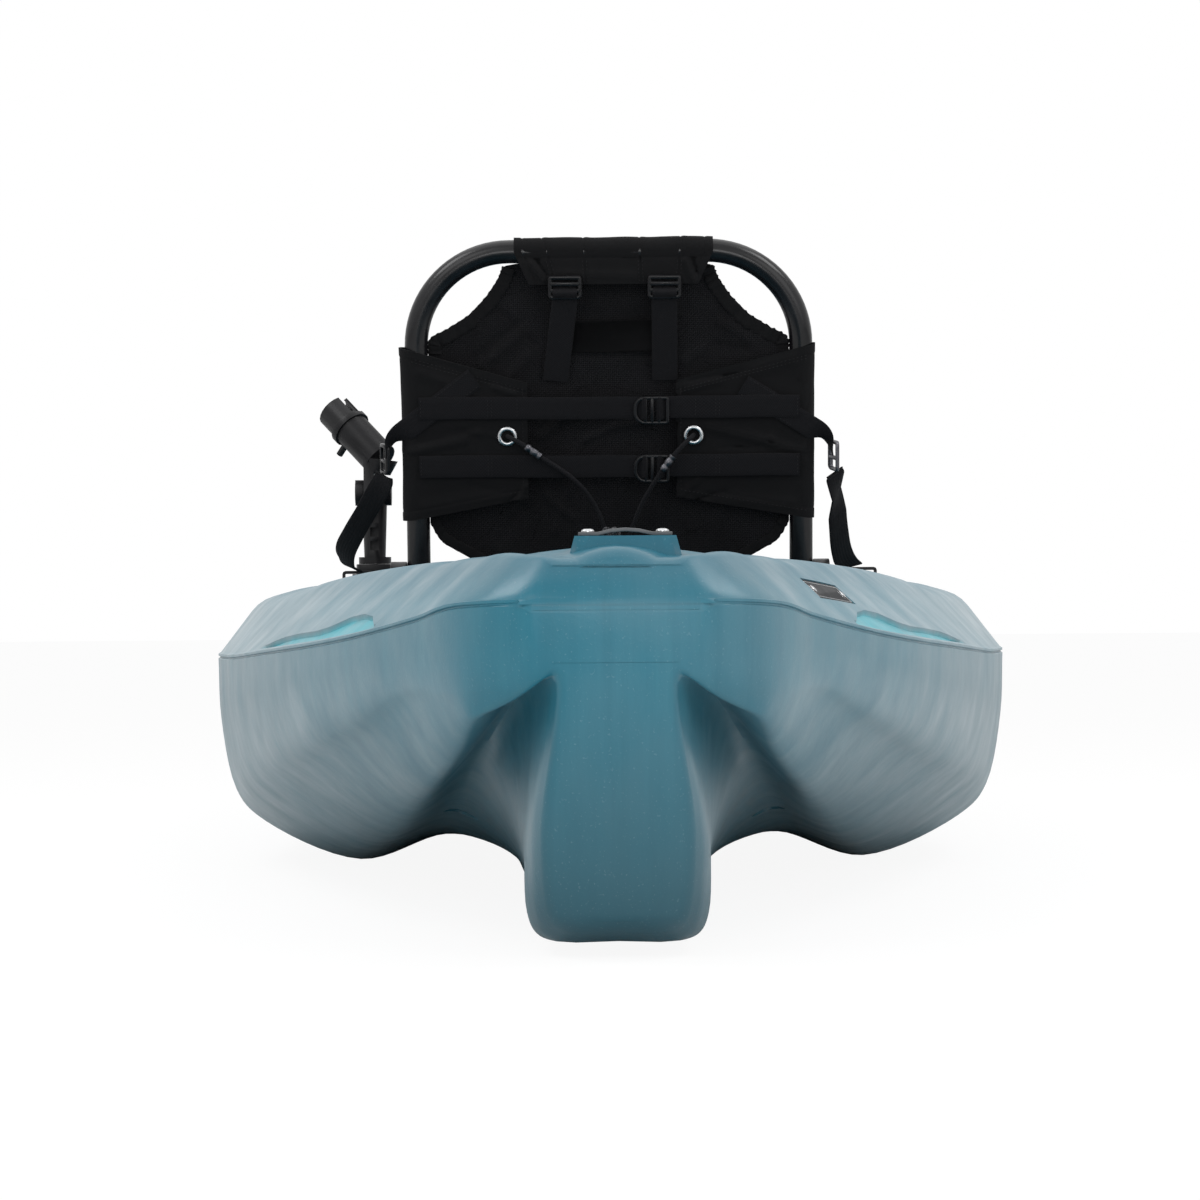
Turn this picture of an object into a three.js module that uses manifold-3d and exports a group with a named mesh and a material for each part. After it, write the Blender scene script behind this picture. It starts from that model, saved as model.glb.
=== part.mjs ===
// A sit-on-top fishing kayak with a folding frame seat, a rail-mounted rod holder and sliding foot pegs.
// Millimetres, +X to starboard, +Y to the bow, +Z up, origin on the ground under the middle of the hull.
import * as THREE from 'three';
import { mergeVertices } from 'three/addons/utils/BufferGeometryUtils.js';
import Module from 'manifold-3d';

const wasm = await Module();
wasm.setup();

// Hull: overall sizes, wells and moulded details.
const hullLength = 3505;
const hullBeam = 889;
const hullDepth = 356;
const hullWall = 4;
const gunwaleShare = 0.875; // top of the flat rail beside the seat, as a share of the depth
const sternDeckShare = 0.92978;
const bowDeckShare = 0.98315;
const deckCamber = 9; // rise of a closed deck on its centreline
const railWidth = 56; // flat top of the gunwale, lip to outer edge
const railSwell = 3; // crown of the slope outside the flat
const wellWallRun = 20; // how far a well's side wall leans in
const wellFillet = 22; // foot of the wall
const wellLipDrop = 8;
const wellEndRun = 45; // length of a well's sloping end wall
const wellCornerRadius = 120;
const taperWidth = 120; // a lip narrower than this draws its wall and fillet in
const cockpitStern = -430;
const wellBridge = 170; // closed deck between the stern well and the cockpit
const sternWellShare = -0.8217; // far ends of the wells, as shares of half the length
const cockpitBowShare = 0.5706;
const bowWellShares = [0.6049, 0.8217];
const seatFloorShare = 0.42135; // floors of the wells, as shares of the depth
const footwellShare = 0.26966;
const sternWellHeightShare = 0.60393;
const bowWellHeightShare = 0.5618;
const sternFloorShares = [-0.7589, -0.5991]; // where the stern well's floor slopes, of half the length
const seatFloorEnds = [200, 260]; // where the seat deck steps down to the footwell
const sternRakeRun = 60;
const bowRakeRun = 260;
const scupperBore = 34;
const scupperWall = 4;
const scupperSpreadShare = 0.3375; // of half the beam
const seatScupper = -330;
const scupperShares = [-0.5136, 0.2739]; // of half the length, in the stern well and the footwell
const drainBore = 26;
const drainShare = 0.8502; // of half the length
const drainBossWidth = 52;
const drainBossRise = 3;
const drainBossRoot = 14; // how deep the boss reaches
const padWidth = 84; // raised pad under the stern handle
const padLength = 62;
const padRise = 7;
const padCorner = 12;
const padEdge = 3;
const padRoot = 12; // how deep the pad reaches into the deck
const padShift = 8;
const padPlaceShare = -0.9415; // of half the length
const footBossHeight = 52; // moulded flats on the footwell walls that carry the foot rails
const footBossPlaceShare = 0.56461; // of the depth
const footBossFaceShare = 0.4612; // of half the beam
const footBossBackShares = [0.5624, 0.5084]; // how far the flats reach into the wall at their stern and bow ends
const footBossMargin = 20;
const plateLength = 146; // identification plate on the starboard quarter
const plateHeight = 25;
const plateCorner = 3;
const plateThickness = 1.6;
const plateDepth = 3; // of the moulded pocket it sits in
const plateBacking = 6;
const platePlaceShare = -0.8131; // of half the length
const plateDownShare = 0.4; // from the shoulder to the seam
const rivetRadius = 5;
const rivetInset = 13;
const rivetHeight = 0.9;

// Strap handles at stern and bow.
const handleSpan = 78;
const handleWidth = 26;
const handleThickness = 3;
const handleBow = 3.5;
const handleFlat = 16;
const handleScrewInset = 8;
const bowHandleShare = 0.9358; // of half the length
const screwHeadRadius = 5.5;
const screwHeadHeight = 2.6;
const screwShankRadius = 2.5;
const screwDepth = 9;

// Drain plug in the foredeck.
const plugFlangeRadius = 17;
const plugFlangeHeight = 4;
const plugGripWidth = 5;
const plugGripHeight = 7;
const plugGripLength = 26;
const plugLength = 18;

// Stopper knot of the cord that comes up through the stern deck.
const knotRadius = 8.5;
const knotSpot = [-3, 41]; // from the middle of the hull and from the stern handle
const deckCordDiameter = 5;
const deckCordLength = 24;

// Gear tracks on the gunwales, strap anchors behind them.
const trackPlaceShare = 0.6187; // of half the beam
const trackWidth = 38;
const trackHeight = 12;
const trackLength = 406;
const trackStart = -20;
const slotMouth = 10;
const slotWidth = 22;
const slotHeight = 5;
const slotLip = 3;
const anchorShare = 0.6412; // of half the beam
const anchorAlong = -80;
const anchorSize = [46, 22, 5];
const anchorLoopWidth = 28;
const anchorLoopHeight = 7;
const anchorLoopWall = 3.5;

// Foot rails and pegs.
const footRailShares = [0.2967, 0.5136]; // ends, as shares of half the length
const footRailHeight = 26;
const footRailDepth = 11;
const footSlotMargin = 12;
const footSlotHeight = 14;
const footSlotDepth = 5;
const footSlotMouth = 7;
const footSlotLip = 3;
const pegPlaceShare = 0.3937; // of half the length
const pegReach = 88;
const pegTall = 92;
const pegThick = 9;
const pegCorner = 14;
const pegShoe = 46;
const pegShoeHeight = 24;
const pegShoeDepth = 7;

// Seat: a tube frame that stands on the seat deck, with a back that folds on two bolts.
const tubeDiameter = 25.4;
const seatWidthShare = 0.49944; // of the beam, over the back's tube
const seatBackHeight = 384; // from the hinge bolts to the top of the back
const hingePlace = -262;
const hingeDrop = 11.5; // of the hinge bolts below the gunwale
const reclineDegrees = 9;
const tubeGap = 0.6; // between a back leg and the rail beside it
const backCornerShare = 0.4955; // of half the seat's width
const baseCorner = 60;
const baseFront = 170;
const tubeOverhang = 13; // tube past the hinge bolt
const hoopDiameter = 22;
const hoopPlaces = [-190, 120];
const hoopCorner = 40;
const footPad = 5; // rubber under the hoop
const footLength = 34;
const footWidth = 32;
const footSpreadShare = 0.5495; // of half the seat's width
const boltRadius = 4;
const boltNutRadius = 8;
const boltNutHeight = 5;
const hingeDiscRadius = 36;
const hingeDiscWidth = 18;
const meshThickness = 4;
const seatSag = 16;
const seatMeshCorner = 48;
const fabricThickness = 2.5;
const strapThickness = 2.2;
const webbingWidth = 25;
const riserWidth = 28;
const flapInnerShares = { port: 0.4009, starboard: 0.3288 }; // of half the seat's width, as the next are
const flapTongue = 11; // of the flap's front edge past the tube's middle
const flapOuterShares = [0.2181, 0.7263]; // of the height up to the top tube: the flap's outer side, bottom and top
const flapInnerEdgeShares = [0.2873, 0.6225];
const sleeveShares = [-0.4595, 0.5135];
const sleeveDrop = 34.9; // of the sleeve's rear tail below the tube's middle
const sleeveFront = 12; // how far the sleeve's front reaches below the tube's middle
const sleeveTaper = 16;
const riserShares = { port: [-0.2613, -0.2117], starboard: [0.2748, 0.2748] }; // bottom and top
const riserFootShare = 0.6252; // of the height up to the top tube
const riserDrop = 50.9; // of the strap's upper end below the tube's middle
const riserFoot = 5; // how far the foot of a riser stands off the mesh's middle
const riserBuckleSize = [37, 26];
const lumbarStrapRises = { lower: -33, upper: 31 }; // from the grommets' height
const lumbarStrapShares = [-0.5676, 0.5045];
const lumbarBuckleShare = 0.2072;
const lumbarBuckleDrop = 3; // of a buckle's middle below its strap's
const lumbarBuckleSize = [39, 31];
const buckleFrame = 4;
const buckleThickness = 5;
const buckleCorner = 3;
const grommetShares = { port: -0.5, starboard: 0.4144 };
const grommetHeightShare = 0.468; // of the height up to the top tube
const grommetRadius = 11;
const grommetHole = 6;
const grommetBarrel = 8;
const grommetRise = 2;
const lumbarCordDiameter = 5;
const crimpDiameter = 9;
const crimpSpans = [[3, 4], [20, 21]]; // steps of the cord's route that the two crimps cover
const lumbarCordRoute = [
  [-111, -8, 171], [-111, -15, 171], [-107, -22, 170], [-92, -25, 162], [-74, -25, 149.5], [-60, -24, 140.5],
  [-46, -22.5, 131], [-36, -21, 122.5], [-27, -19.5, 113], [-20, -17.5, 103], [-14, -15.5, 92.5], [-6, -12, 73],
  [1, -8, 56], [5.5, -5.2, 44], [9.5, -4.8, 38.5], [13.5, -5.2, 44], [18, -8, 56], [25, -12.5, 73], [34, -18.5, 96],
  [47, -26.5, 119.5], [58, -29.5, 136], [69, -29.5, 150], [79, -28, 160.5], [88, -23, 168.5], [92, -15, 171],
  [92, -8, 171],
]; // across, behind and up, from the hinge, for a seat as wide as its route
const sideBuckleReach = 20; // from the back's tube out to the buckle
const sideBuckleHeightShare = 0.39905;
const sideBuckleSize = [7, 24, 34];
const sideStubWidth = 22;
const sideStubRise = 12;
const anchorEdge = 1; // from the anchor's middle out to the strap's end
const sideStrapRise = 17; // of the strap's end above the gunwale
const sideStrapDrop = 23.2; // of its start below the middle of the side buckle
const sideStrapTwistShares = {
  port: [0.5, 0.62, 0.8, 0.7, 0.45, 0.2, 0.1],
  starboard: [0.6, 0.35, 0.8, 0.8, 0.6, 0.5, 0.5],
}; // how far the width turns from y to x
const sideStrapUpShares = {
  port: [1, 0.8549, 0.6684, 0.4301, 0.2228, 0.0777, 0],
  starboard: [1, 0.81, 0.58, 0.36, 0.19, 0.07, 0],
}; // of the way from its end up to its start
const sideStrapRoutes = {
  port: [[247, -281], [256, -260], [268, -226], [284, -182], [296, -138], [296, -102], [286, -82]],
  starboard: [[247, -281], [249, -262], [251, -238], [254, -208], [258, -172], [264, -132], [274, -83.3]],
}; // out and along, for a hull as wide as the routes: slack to port, hanging and twisted to starboard

// Rod holder on the port track.
const rodPlace = 150;
const rodBase = [42, 56, 12];
const rodBaseCorner = 8;
const swivelRadius = 19;
const swivelHeight = 8;
const postRadii = [12.5, 15];
const recessWidth = 10;
const recessHeight = 11;
const recessPitch = 16;
const recessDepth = 4;
const recessRise = 7.9; // from the swivel's neck up to the first recess
const recessCount = 3;
const tiltRise = 83.6; // from the post's foot up to the tilt axis
const lugRadius = 15;
const postLugWidth = 20;
const headLugWidth = 12;
const neckRadius = 14;
const neckRise = 22; // from the tilt axis to the foot of the head's neck
const tiltBoltRadius = 5;
const holderRadius = 21;
const holderBore = 17;
const holderLength = 92;
const holderSeat = [7, 39]; // where the holder's axis starts, from the track's middle and the tilt axis
const holderAimShares = [-0.608, 0.456, 0.65];
const holderBoreDepth = 70;
const holderNotch = 8;
const holderNotchDepth = 30;
const holderCollar = 24;
const holderCollarWidth = 8;
const holderCollarPlace = 56;
const hookLength = 14;
const hookRadius = 4;
const knobRadius = 13;
const knobWidth = 10;
const knobWing = 30;
const knobWingWidth = 6;

// Clearances and shared counts.
const seatGap = 0.3; // between faces that rest on each other
const cutOverrun = 2; // how far a cutter runs past the face it cuts
const roundSides = 12;
const fineSides = 20;

const halfLength = hullLength / 2;
const halfBeam = hullBeam / 2;
const gunwaleHeight = gunwaleShare * hullDepth;
const sternDeckHeight = sternDeckShare * hullDepth;
const bowDeckHeight = bowDeckShare * hullDepth;
const seatFloorHeight = seatFloorShare * hullDepth;
const footwellHeight = footwellShare * hullDepth;
const sternWellHeight = sternWellHeightShare * hullDepth;
const bowWellHeight = bowWellHeightShare * hullDepth;
const footBossPlace = footBossPlaceShare * hullDepth;
const hingeHeight = gunwaleHeight - hingeDrop;
const sternWellEnds = [sternWellShare * halfLength, cockpitStern - wellBridge];
const cockpitEnds = [cockpitStern, cockpitBowShare * halfLength];
const bowWellEnds = bowWellShares.map((share) => share * halfLength);
const floorPlaces = [...sternFloorShares.map((share) => share * halfLength), ...seatFloorEnds];
floorPlaces.push(cockpitEnds[1], bowWellEnds[0]);
const scupperSpread = scupperSpreadShare * halfBeam;
const scupperPlaces = [scupperShares[0] * halfLength, seatScupper, scupperShares[1] * halfLength];
const drainPlace = drainShare * halfLength;
const padPlace = padPlaceShare * halfLength;
const bowHandlePlace = bowHandleShare * halfLength;
const knotPlace = [knotSpot[0], padPlace + knotSpot[1]];
const platePlace = platePlaceShare * halfLength;
const footBossFace = footBossFaceShare * halfBeam;
const footBossBacks = footBossBackShares.map((share) => share * halfBeam);
const footRailStart = footRailShares[0] * halfLength;
const footRailLength = footRailShares[1] * halfLength - footRailStart;
const pegPlace = pegPlaceShare * halfLength;
const trackPlace = trackPlaceShare * halfBeam;
const anchorPlace = [anchorShare * halfBeam, anchorAlong];
const seatWidth = seatWidthShare * hullBeam;
const halfSeat = seatWidth / 2;

const plastic = (colour, rough) =>
  new THREE.MeshStandardMaterial({ color: colour, roughness: rough, metalness: 0 });
const metal = (colour, rough) =>
  new THREE.MeshStandardMaterial({ color: colour, roughness: rough, metalness: 0.9 });
const hullPlastic = plastic(0x3d7488, 0.38);
const blackPlastic = plastic(0x141416, 0.5);
const blackTube = metal(0x1a1a1c, 0.38);
const blackMesh = plastic(0x1b1b1d, 0.9);
const blackWebbing = plastic(0x18181a, 0.85);
const blackRubber = plastic(0x101012, 0.8);
const silver = metal(0xb9bcc0, 0.3);
const greyStrap = plastic(0x8d8f92, 0.55);

const kayak = new THREE.Group();

// A closed geometry as a solid whose faces point out.
function solid(geometry) {
  const bare = geometry.clone();
  bare.deleteAttribute('normal');
  bare.deleteAttribute('uv');
  const merged = mergeVertices(bare, 1e-4);
  const triVerts = new Uint32Array(merged.index.array);
  const make = () =>
    new wasm.Manifold(
      new wasm.Mesh({ numProp: 3, vertProperties: merged.attributes.position.array, triVerts }),
    );
  const made = make();
  if (made.volume() > 0) return made;
  for (let i = 0; i < triVerts.length; i += 3) {
    [triVerts[i + 1], triVerts[i + 2]] = [triVerts[i + 2], triVerts[i + 1]];
  }
  return make();
}

// A solid back as a geometry that a mesh can hold.
function surface(body) {
  const mesh = body.getMesh();
  const stride = mesh.numProp;
  const corners = new Float32Array(mesh.numVert * 3);
  for (let i = 0; i < mesh.numVert; i++) {
    corners.set(mesh.vertProperties.subarray(i * stride, i * stride + 3), i * 3);
  }
  const geometry = new THREE.BufferGeometry();
  geometry.setAttribute('position', new THREE.BufferAttribute(corners, 3));
  geometry.setIndex(new THREE.BufferAttribute(mesh.triVerts, 1));
  geometry.computeVertexNormals();
  return geometry;
}

function addPart(parent, name, body, material) {
  const mesh = new THREE.Mesh(surface(body), material);
  mesh.name = name;
  parent.add(mesh);
  return mesh;
}

const mix = (a, b, share) => a + (b - a) * share;
const clamp = (value, low, high) => Math.min(high, Math.max(low, value));
const smooth = (share) => share * share * (3 - 2 * share);

// A box between two corners.
function block(low, high) {
  const geometry = new THREE.BoxGeometry(high[0] - low[0], high[1] - low[1], high[2] - low[2]);
  geometry.translate((low[0] + high[0]) / 2, (low[1] + high[1]) / 2, (low[2] + high[2]) / 2);
  return solid(geometry);
}

// A round bar from one point to another, or a cone when its end radius differs.
function bar(from, to, radius, sides = roundSides, endRadius = radius) {
  const start = new THREE.Vector3(...from);
  const end = new THREE.Vector3(...to);
  const along = end.clone().sub(start);
  const geometry = new THREE.CylinderGeometry(endRadius, radius, along.length(), sides);
  const turn = new THREE.Quaternion().setFromUnitVectors(new THREE.Vector3(0, 1, 0), along.clone().normalize());
  geometry.applyQuaternion(turn);
  geometry.translate(...start.add(end).multiplyScalar(0.5).toArray());
  return solid(geometry);
}

// Corner points of a circle, and of a box with round corners.
function circle(u, v, radius, sides) {
  return Array.from({ length: sides }, (_, i) => {
    const angle = (2 * Math.PI * (i + 0.5)) / sides;
    return [u + radius * Math.cos(angle), v + radius * Math.sin(angle)];
  });
}
const boxOutline = (low, high) => [low, [high[0], low[1]], high, [low[0], high[1]]];
function roundedBox(low, high, radius, steps = 2) {
  const middles = [
    [high[0] - radius, high[1] - radius],
    [low[0] + radius, high[1] - radius],
    [low[0] + radius, low[1] + radius],
    [high[0] - radius, low[1] + radius],
  ];
  return middles.flatMap(([u, v], quarter) =>
    Array.from({ length: steps + 1 }, (_, i) => {
      const angle = (quarter + i / steps) * (Math.PI / 2);
      return [u + radius * Math.cos(angle), v + radius * Math.sin(angle)];
    }),
  );
}

// A flat outline with holes, extruded along one axis; its points lie in the other two axes, in order.
const toShape = (outline) => new THREE.Shape(outline.map(([u, v]) => new THREE.Vector2(u, v)));
function slab(axis, outline, from, to, holes = []) {
  const geometry = new THREE.ExtrudeGeometry(toShape(outline), { depth: to - from, bevelEnabled: false });
  geometry.translate(0, 0, from);
  const [x, y, z] = [0, 1, 2].map((n) => new THREE.Vector3().setComponent(n, 1));
  const bases = { x: [y, z, x], y: [x, z, y], z: [x, y, z] };
  geometry.applyMatrix4(new THREE.Matrix4().makeBasis(...bases[axis]));
  const cut = (body, hole) => body.subtract(slab(axis, hole, from - cutOverrun, to + cutOverrun));
  return holes.reduce(cut, solid(geometry));
}

// A profile of radius and height turned about an upright axis.
function turned(profile, x, y, z, sides = roundSides) {
  const geometry = new THREE.LatheGeometry(toShape(profile).getPoints(), sides);
  geometry.rotateX(Math.PI / 2);
  geometry.translate(x, y, z);
  return solid(geometry);
}

// A curve that takes one step to each of its points.
class Route extends THREE.Curve {
  constructor(points) {
    super();
    this.points = points.map((point) => new THREE.Vector3(...point));
  }
  getPoint(share, target = new THREE.Vector3()) {
    const last = this.points.length - 1;
    const i = Math.min(last - 1, Math.floor(share * last));
    return target.lerpVectors(this.points[i], this.points[i + 1], share * last - i);
  }
  getUtoTmapping(share) {
    return share;
  }
}
function tube(points, diameter, sides = roundSides) {
  const ring = toShape(circle(0, 0, diameter / 2, sides));
  const settings = { steps: points.length - 1, extrudePath: new Route(points), curveSegments: 1 };
  return solid(new THREE.ExtrudeGeometry(ring, settings));
}

// The corners of a bent tube drawn as arcs.
function bent(corners, radius, steps) {
  const stops = corners.map((corner) => new THREE.Vector3(...corner));
  const points = [stops[0]];
  for (let i = 1; i < stops.length - 1; i++) {
    const back = stops[i - 1].clone().sub(stops[i]).normalize();
    const on = stops[i + 1].clone().sub(stops[i]).normalize();
    const half = back.angleTo(on) / 2;
    const middle = back.clone().add(on).setLength(radius / Math.sin(half)).add(stops[i]);
    const from = back.multiplyScalar(radius / Math.tan(half)).add(stops[i]).sub(middle);
    const to = on.multiplyScalar(radius / Math.tan(half)).add(stops[i]).sub(middle);
    const turn = from.angleTo(to);
    for (let n = 0; n <= steps; n++) {
      const first = from.clone().multiplyScalar(Math.sin(turn * (1 - n / steps)) / Math.sin(turn));
      const second = to.clone().multiplyScalar(Math.sin((turn * n) / steps) / Math.sin(turn));
      points.push(first.add(second).add(middle));
    }
  }
  points.push(stops[stops.length - 1]);
  return points.map((point) => point.toArray());
}

// A flat strap along a route; each point has the direction of its width.
function strap(points, acrosses, width, thickness) {
  const stops = points.map((point) => new THREE.Vector3(...point));
  const corners = [];
  stops.forEach((stop, i) => {
    const along = stops[Math.min(i + 1, stops.length - 1)].clone().sub(stops[Math.max(i - 1, 0)]).normalize();
    const across = new THREE.Vector3(...acrosses[i]);
    across.addScaledVector(along, -across.dot(along)).setLength(width / 2);
    const out = across.clone().cross(along).setLength(thickness / 2);
    for (const [u, v] of [[1, 1], [-1, 1], [-1, -1], [1, -1]]) {
      corners.push(...stop.clone().addScaledVector(across, u).addScaledVector(out, v).toArray());
    }
  });
  const faces = [0, 1, 2, 0, 2, 3];
  const end = 4 * (stops.length - 1);
  faces.push(end, end + 2, end + 1, end, end + 3, end + 2);
  for (let row = 0; row < end; row += 4) {
    for (let i = 0; i < 4; i++) {
      const next = (i + 1) % 4;
      faces.push(row + i, row + 4 + i, row + next, row + next, row + 4 + i, row + 4 + next);
    }
  }
  const geometry = new THREE.BufferGeometry();
  geometry.setAttribute('position', new THREE.Float32BufferAttribute(corners, 3));
  geometry.setIndex(faces);
  return solid(geometry);
}

// A buckle's frame with two windows, side by side along its first or second direction.
function buckle(axis, low, high, from, to, split) {
  const window = (part) => {
    const from = [low[0] + buckleFrame, low[1] + buckleFrame];
    const to = [high[0] - buckleFrame, high[1] - buckleFrame];
    const size = (to[split] - from[split] - buckleFrame) / 2;
    from[split] += part * (size + buckleFrame);
    to[split] = from[split] + size;
    return boxOutline(from, to);
  };
  return slab(axis, roundedBox(low, high, buckleCorner), from, to, [window(0), window(1)]);
}

// A value table read as a smooth curve that never overshoots its points.
function tableCurve(places, values) {
  const steps = places.slice(1).map((place, i) => place - places[i]);
  const slopes = steps.map((step, i) => (values[i + 1] - values[i]) / step);
  const tangents = values.map((_, i) => {
    if (i === 0) return slopes[0];
    if (i === values.length - 1) return slopes[i - 1];
    if (slopes[i - 1] * slopes[i] <= 0) return 0;
    const before = 2 * steps[i] + steps[i - 1];
    const after = steps[i] + 2 * steps[i - 1];
    return (before + after) / (before / slopes[i - 1] + after / slopes[i]);
  });
  return (place) => {
    const at = clamp(place, places[0], places[places.length - 1]);
    const i = Math.max(0, places.findIndex((p, n) => n > 0 && at <= p) - 1);
    const t = (at - places[i]) / steps[i];
    const h00 = (1 + 2 * t) * (1 - t) ** 2;
    const h10 = t * (1 - t) ** 2;
    const h01 = t * t * (3 - 2 * t);
    const h11 = t * t * (t - 1);
    return (
      h00 * values[i] + h10 * steps[i] * tangents[i] + h01 * values[i + 1] + h11 * steps[i] * tangents[i + 1]
    );
  };
}

// Hull lines, stern to bow: places as shares of half the length, x as shares of half the beam, z of the depth.
const stationShares = [-1, -0.985, -0.965, -0.91, -0.77, -0.54, -0.28, 0, 0.3, 0.55, 0.75, 0.88, 0.96, 1];
const hullLineShares = {
  keel: {
    x: [0.12, 0.15, 0.165, 0.172, 0.175, 0.178, 0.19, 0.2, 0.19, 0.15, 0.09, 0.04, 0.018, 0.008],
    z: [0.065, 0.034, 0.03, 0.028, 0.024, 0.012, 0, 0, 0, 0.02, 0.08, 0.18, 0.32, 0.5],
  },
  flank: {
    x: [0.135, 0.16, 0.17, 0.178, 0.188, 0.203, 0.235, 0.255, 0.25, 0.2, 0.12, 0.06, 0.025, 0.012],
    z: [0.3, 0.28, 0.28, 0.26, 0.2, 0.12, 0.075, 0.06, 0.06, 0.085, 0.13, 0.24, 0.4, 0.58],
  },
  tunnel: {
    x: [0.11, 0.13, 0.15, 0.19, 0.265, 0.337, 0.405, 0.414, 0.4, 0.3, 0.19, 0.1, 0.05, 0.02],
    z: [0.655, 0.645, 0.64, 0.59, 0.45, 0.267, 0.14, 0.084, 0.085, 0.14, 0.25, 0.38, 0.52, 0.66],
  },
  ridge: {
    x: [0.125, 0.19, 0.268, 0.297, 0.373, 0.471, 0.583, 0.64, 0.62, 0.5, 0.34, 0.19, 0.09, 0.03],
    z: [0.665, 0.6, 0.55, 0.475, 0.355, 0.215, 0.09, 0, 0.005, 0.06, 0.16, 0.3, 0.45, 0.62],
  },
  chine: {
    x: [0.15, 0.225, 0.29, 0.36, 0.487, 0.658, 0.815, 0.905, 0.875, 0.74, 0.54, 0.33, 0.16, 0.04],
    z: [0.7, 0.62, 0.6, 0.6, 0.5, 0.366, 0.25, 0.14, 0.14, 0.2, 0.31, 0.45, 0.6, 0.75],
  },
  seam: {
    x: [0.17, 0.248, 0.302, 0.378, 0.558, 0.755, 0.905, 1, 0.965, 0.845, 0.655, 0.42, 0.22, 0.05],
    z: [0.823, 0.82, 0.815, 0.785, 0.73, 0.69, 0.662, 0.655, 0.66, 0.69, 0.745, 0.81, 0.87, 0.91],
  },
  shoulder: {
    x: [0.13, 0.18, 0.21, 0.27, 0.398, 0.588, 0.775, 0.895, 0.865, 0.74, 0.55, 0.33, 0.15, 0.03],
    z: [0.925, 0.932, 0.937, 0.923, 0.903, 0.874, 0.84, 0.829, 0.84, 0.87, 0.91, 0.95, 0.985, 1],
  },
};
// Points of the side between chine and seam, as shares of the way out and up.
const sideShares = [[0.54, 0.16], [0.93, 0.6]];
const keelRoundShare = 0.012;
const lipShares = [0.07, 0.09, 0.11, 0.17, 0.31, 0.47, 0.57, 0.572, 0.572, 0.51, 0.34, 0.2, 0.1, 0.015];
// Deck height between its stern, gunwale and bow heights: 0 at the gunwale, 1 at the end.
const sheerShares = [0.85, 0.92, 1, 1, 0.85, 0.52, 0, 0, 0, 0.25, 0.6, 0.85, 1, 1];
const camberShares = [1, 1, 1, 1, 0.8, 0.4, 0.4, 0.4, 0.4, 0.4, 0.4, 0.3, 0.2, 0.1];
const rakeHeightShares = [0, 0.04, 0.1, 0.3, 0.62, 0.82, 0.94, 1];
const sternRakeShares = [1, 1, 0.8, 0.47, 0.13, 0, 0.5, 0.75];
const bowRakeShares = [1, 0.98, 0.96, 0.65, 0.32, 0.06, 0.01, 0];
const rakeFadeShares = [-0.77, 0.75]; // stations where the stern and bow rakes begin
const railPartShare = 0.5; // most of the deck outside the lip that the flat may take

const line = {};
for (const [name, shares] of Object.entries(hullLineShares)) {
  line[name] = {
    x: tableCurve(stationShares, shares.x.map((share) => share * halfBeam)),
    z: tableCurve(stationShares, shares.z.map((share) => share * hullDepth)),
  };
}
const lipWidth = tableCurve(stationShares, lipShares.map((share) => share * halfBeam));
const deckRise = tableCurve(
  stationShares,
  sheerShares.map(
    (share, i) => share * ((stationShares[i] < 0 ? sternDeckHeight : bowDeckHeight) - gunwaleHeight),
  ),
);
const camber = tableCurve(stationShares, camberShares.map((share) => share * deckCamber));
const sternRake = tableCurve(rakeHeightShares, sternRakeShares.map((share) => share * sternRakeRun));
const bowRake = tableCurve(rakeHeightShares, bowRakeShares.map((share) => share * bowRakeRun));

const railHeight = (y) => gunwaleHeight + deckRise(y / halfLength);

// Floor height of the wells along the boat, in straight runs.
const floorHeights = [sternWellHeight, seatFloorHeight, seatFloorHeight, footwellHeight, footwellHeight, bowWellHeight];
function floorHeight(y) {
  const after = floorPlaces.findIndex((place) => y < place);
  if (after === 0) return floorHeights[0];
  if (after < 0) return floorHeights[floorHeights.length - 1];
  const share = (y - floorPlaces[after - 1]) / (floorPlaces[after] - floorPlaces[after - 1]);
  return mix(floorHeights[after - 1], floorHeights[after], share);
}

// How open the deck is at a place: 0 on closed deck, 1 over a well's floor, with the lip drawn in at its ends.
const wells = [sternWellEnds, cockpitEnds, bowWellEnds];
const cornerDrawShare = 0.28;
function wellAt(y, grown) {
  let open = 0;
  let lip = lipWidth(y / halfLength);
  for (const [stern, bow] of wells) {
    const inside = Math.min(y - (stern - grown), bow + grown - y);
    open = Math.max(open, clamp(inside / wellEndRun, 0, 1));
    const corner = Math.max(0, 1 - Math.abs(inside) / wellCornerRadius);
    lip *= 1 - cornerDrawShare * corner * corner;
  }
  return { open, lip };
}

// Points between two named lines of the bottom, so that every ring has the same count.
const bottomSteps = [1, 3, 2, 2, 2, 1, 1, 1];
function bottomPoints(share) {
  const at = (name) => new THREE.Vector3(line[name].x(share), 0, line[name].z(share));
  const keel = at('keel');
  keel.z += keelRoundShare * hullDepth;
  const chine = at('chine');
  const seam = at('seam');
  const sides = sideShares.map(
    ([out, up]) => new THREE.Vector3(mix(chine.x, seam.x, out), 0, mix(chine.z, seam.z, up)),
  );
  const stops = [new THREE.Vector3(0, 0, line.keel.z(share)), keel, at('flank'), at('tunnel'), at('ridge'), chine];
  stops.push(...sides, seam);
  const curve = new THREE.CatmullRomCurve3(stops, false, 'centripetal');
  const points = [];
  bottomSteps.forEach((count, i) => {
    for (let n = 0; n < count; n++) points.push(curve.getPoint((i + n / count) / bottomSteps.length));
  });
  points.push(seam);
  return points.map((point) => [Math.max(0, point.x), Math.max(0, point.z)]);
}

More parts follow.
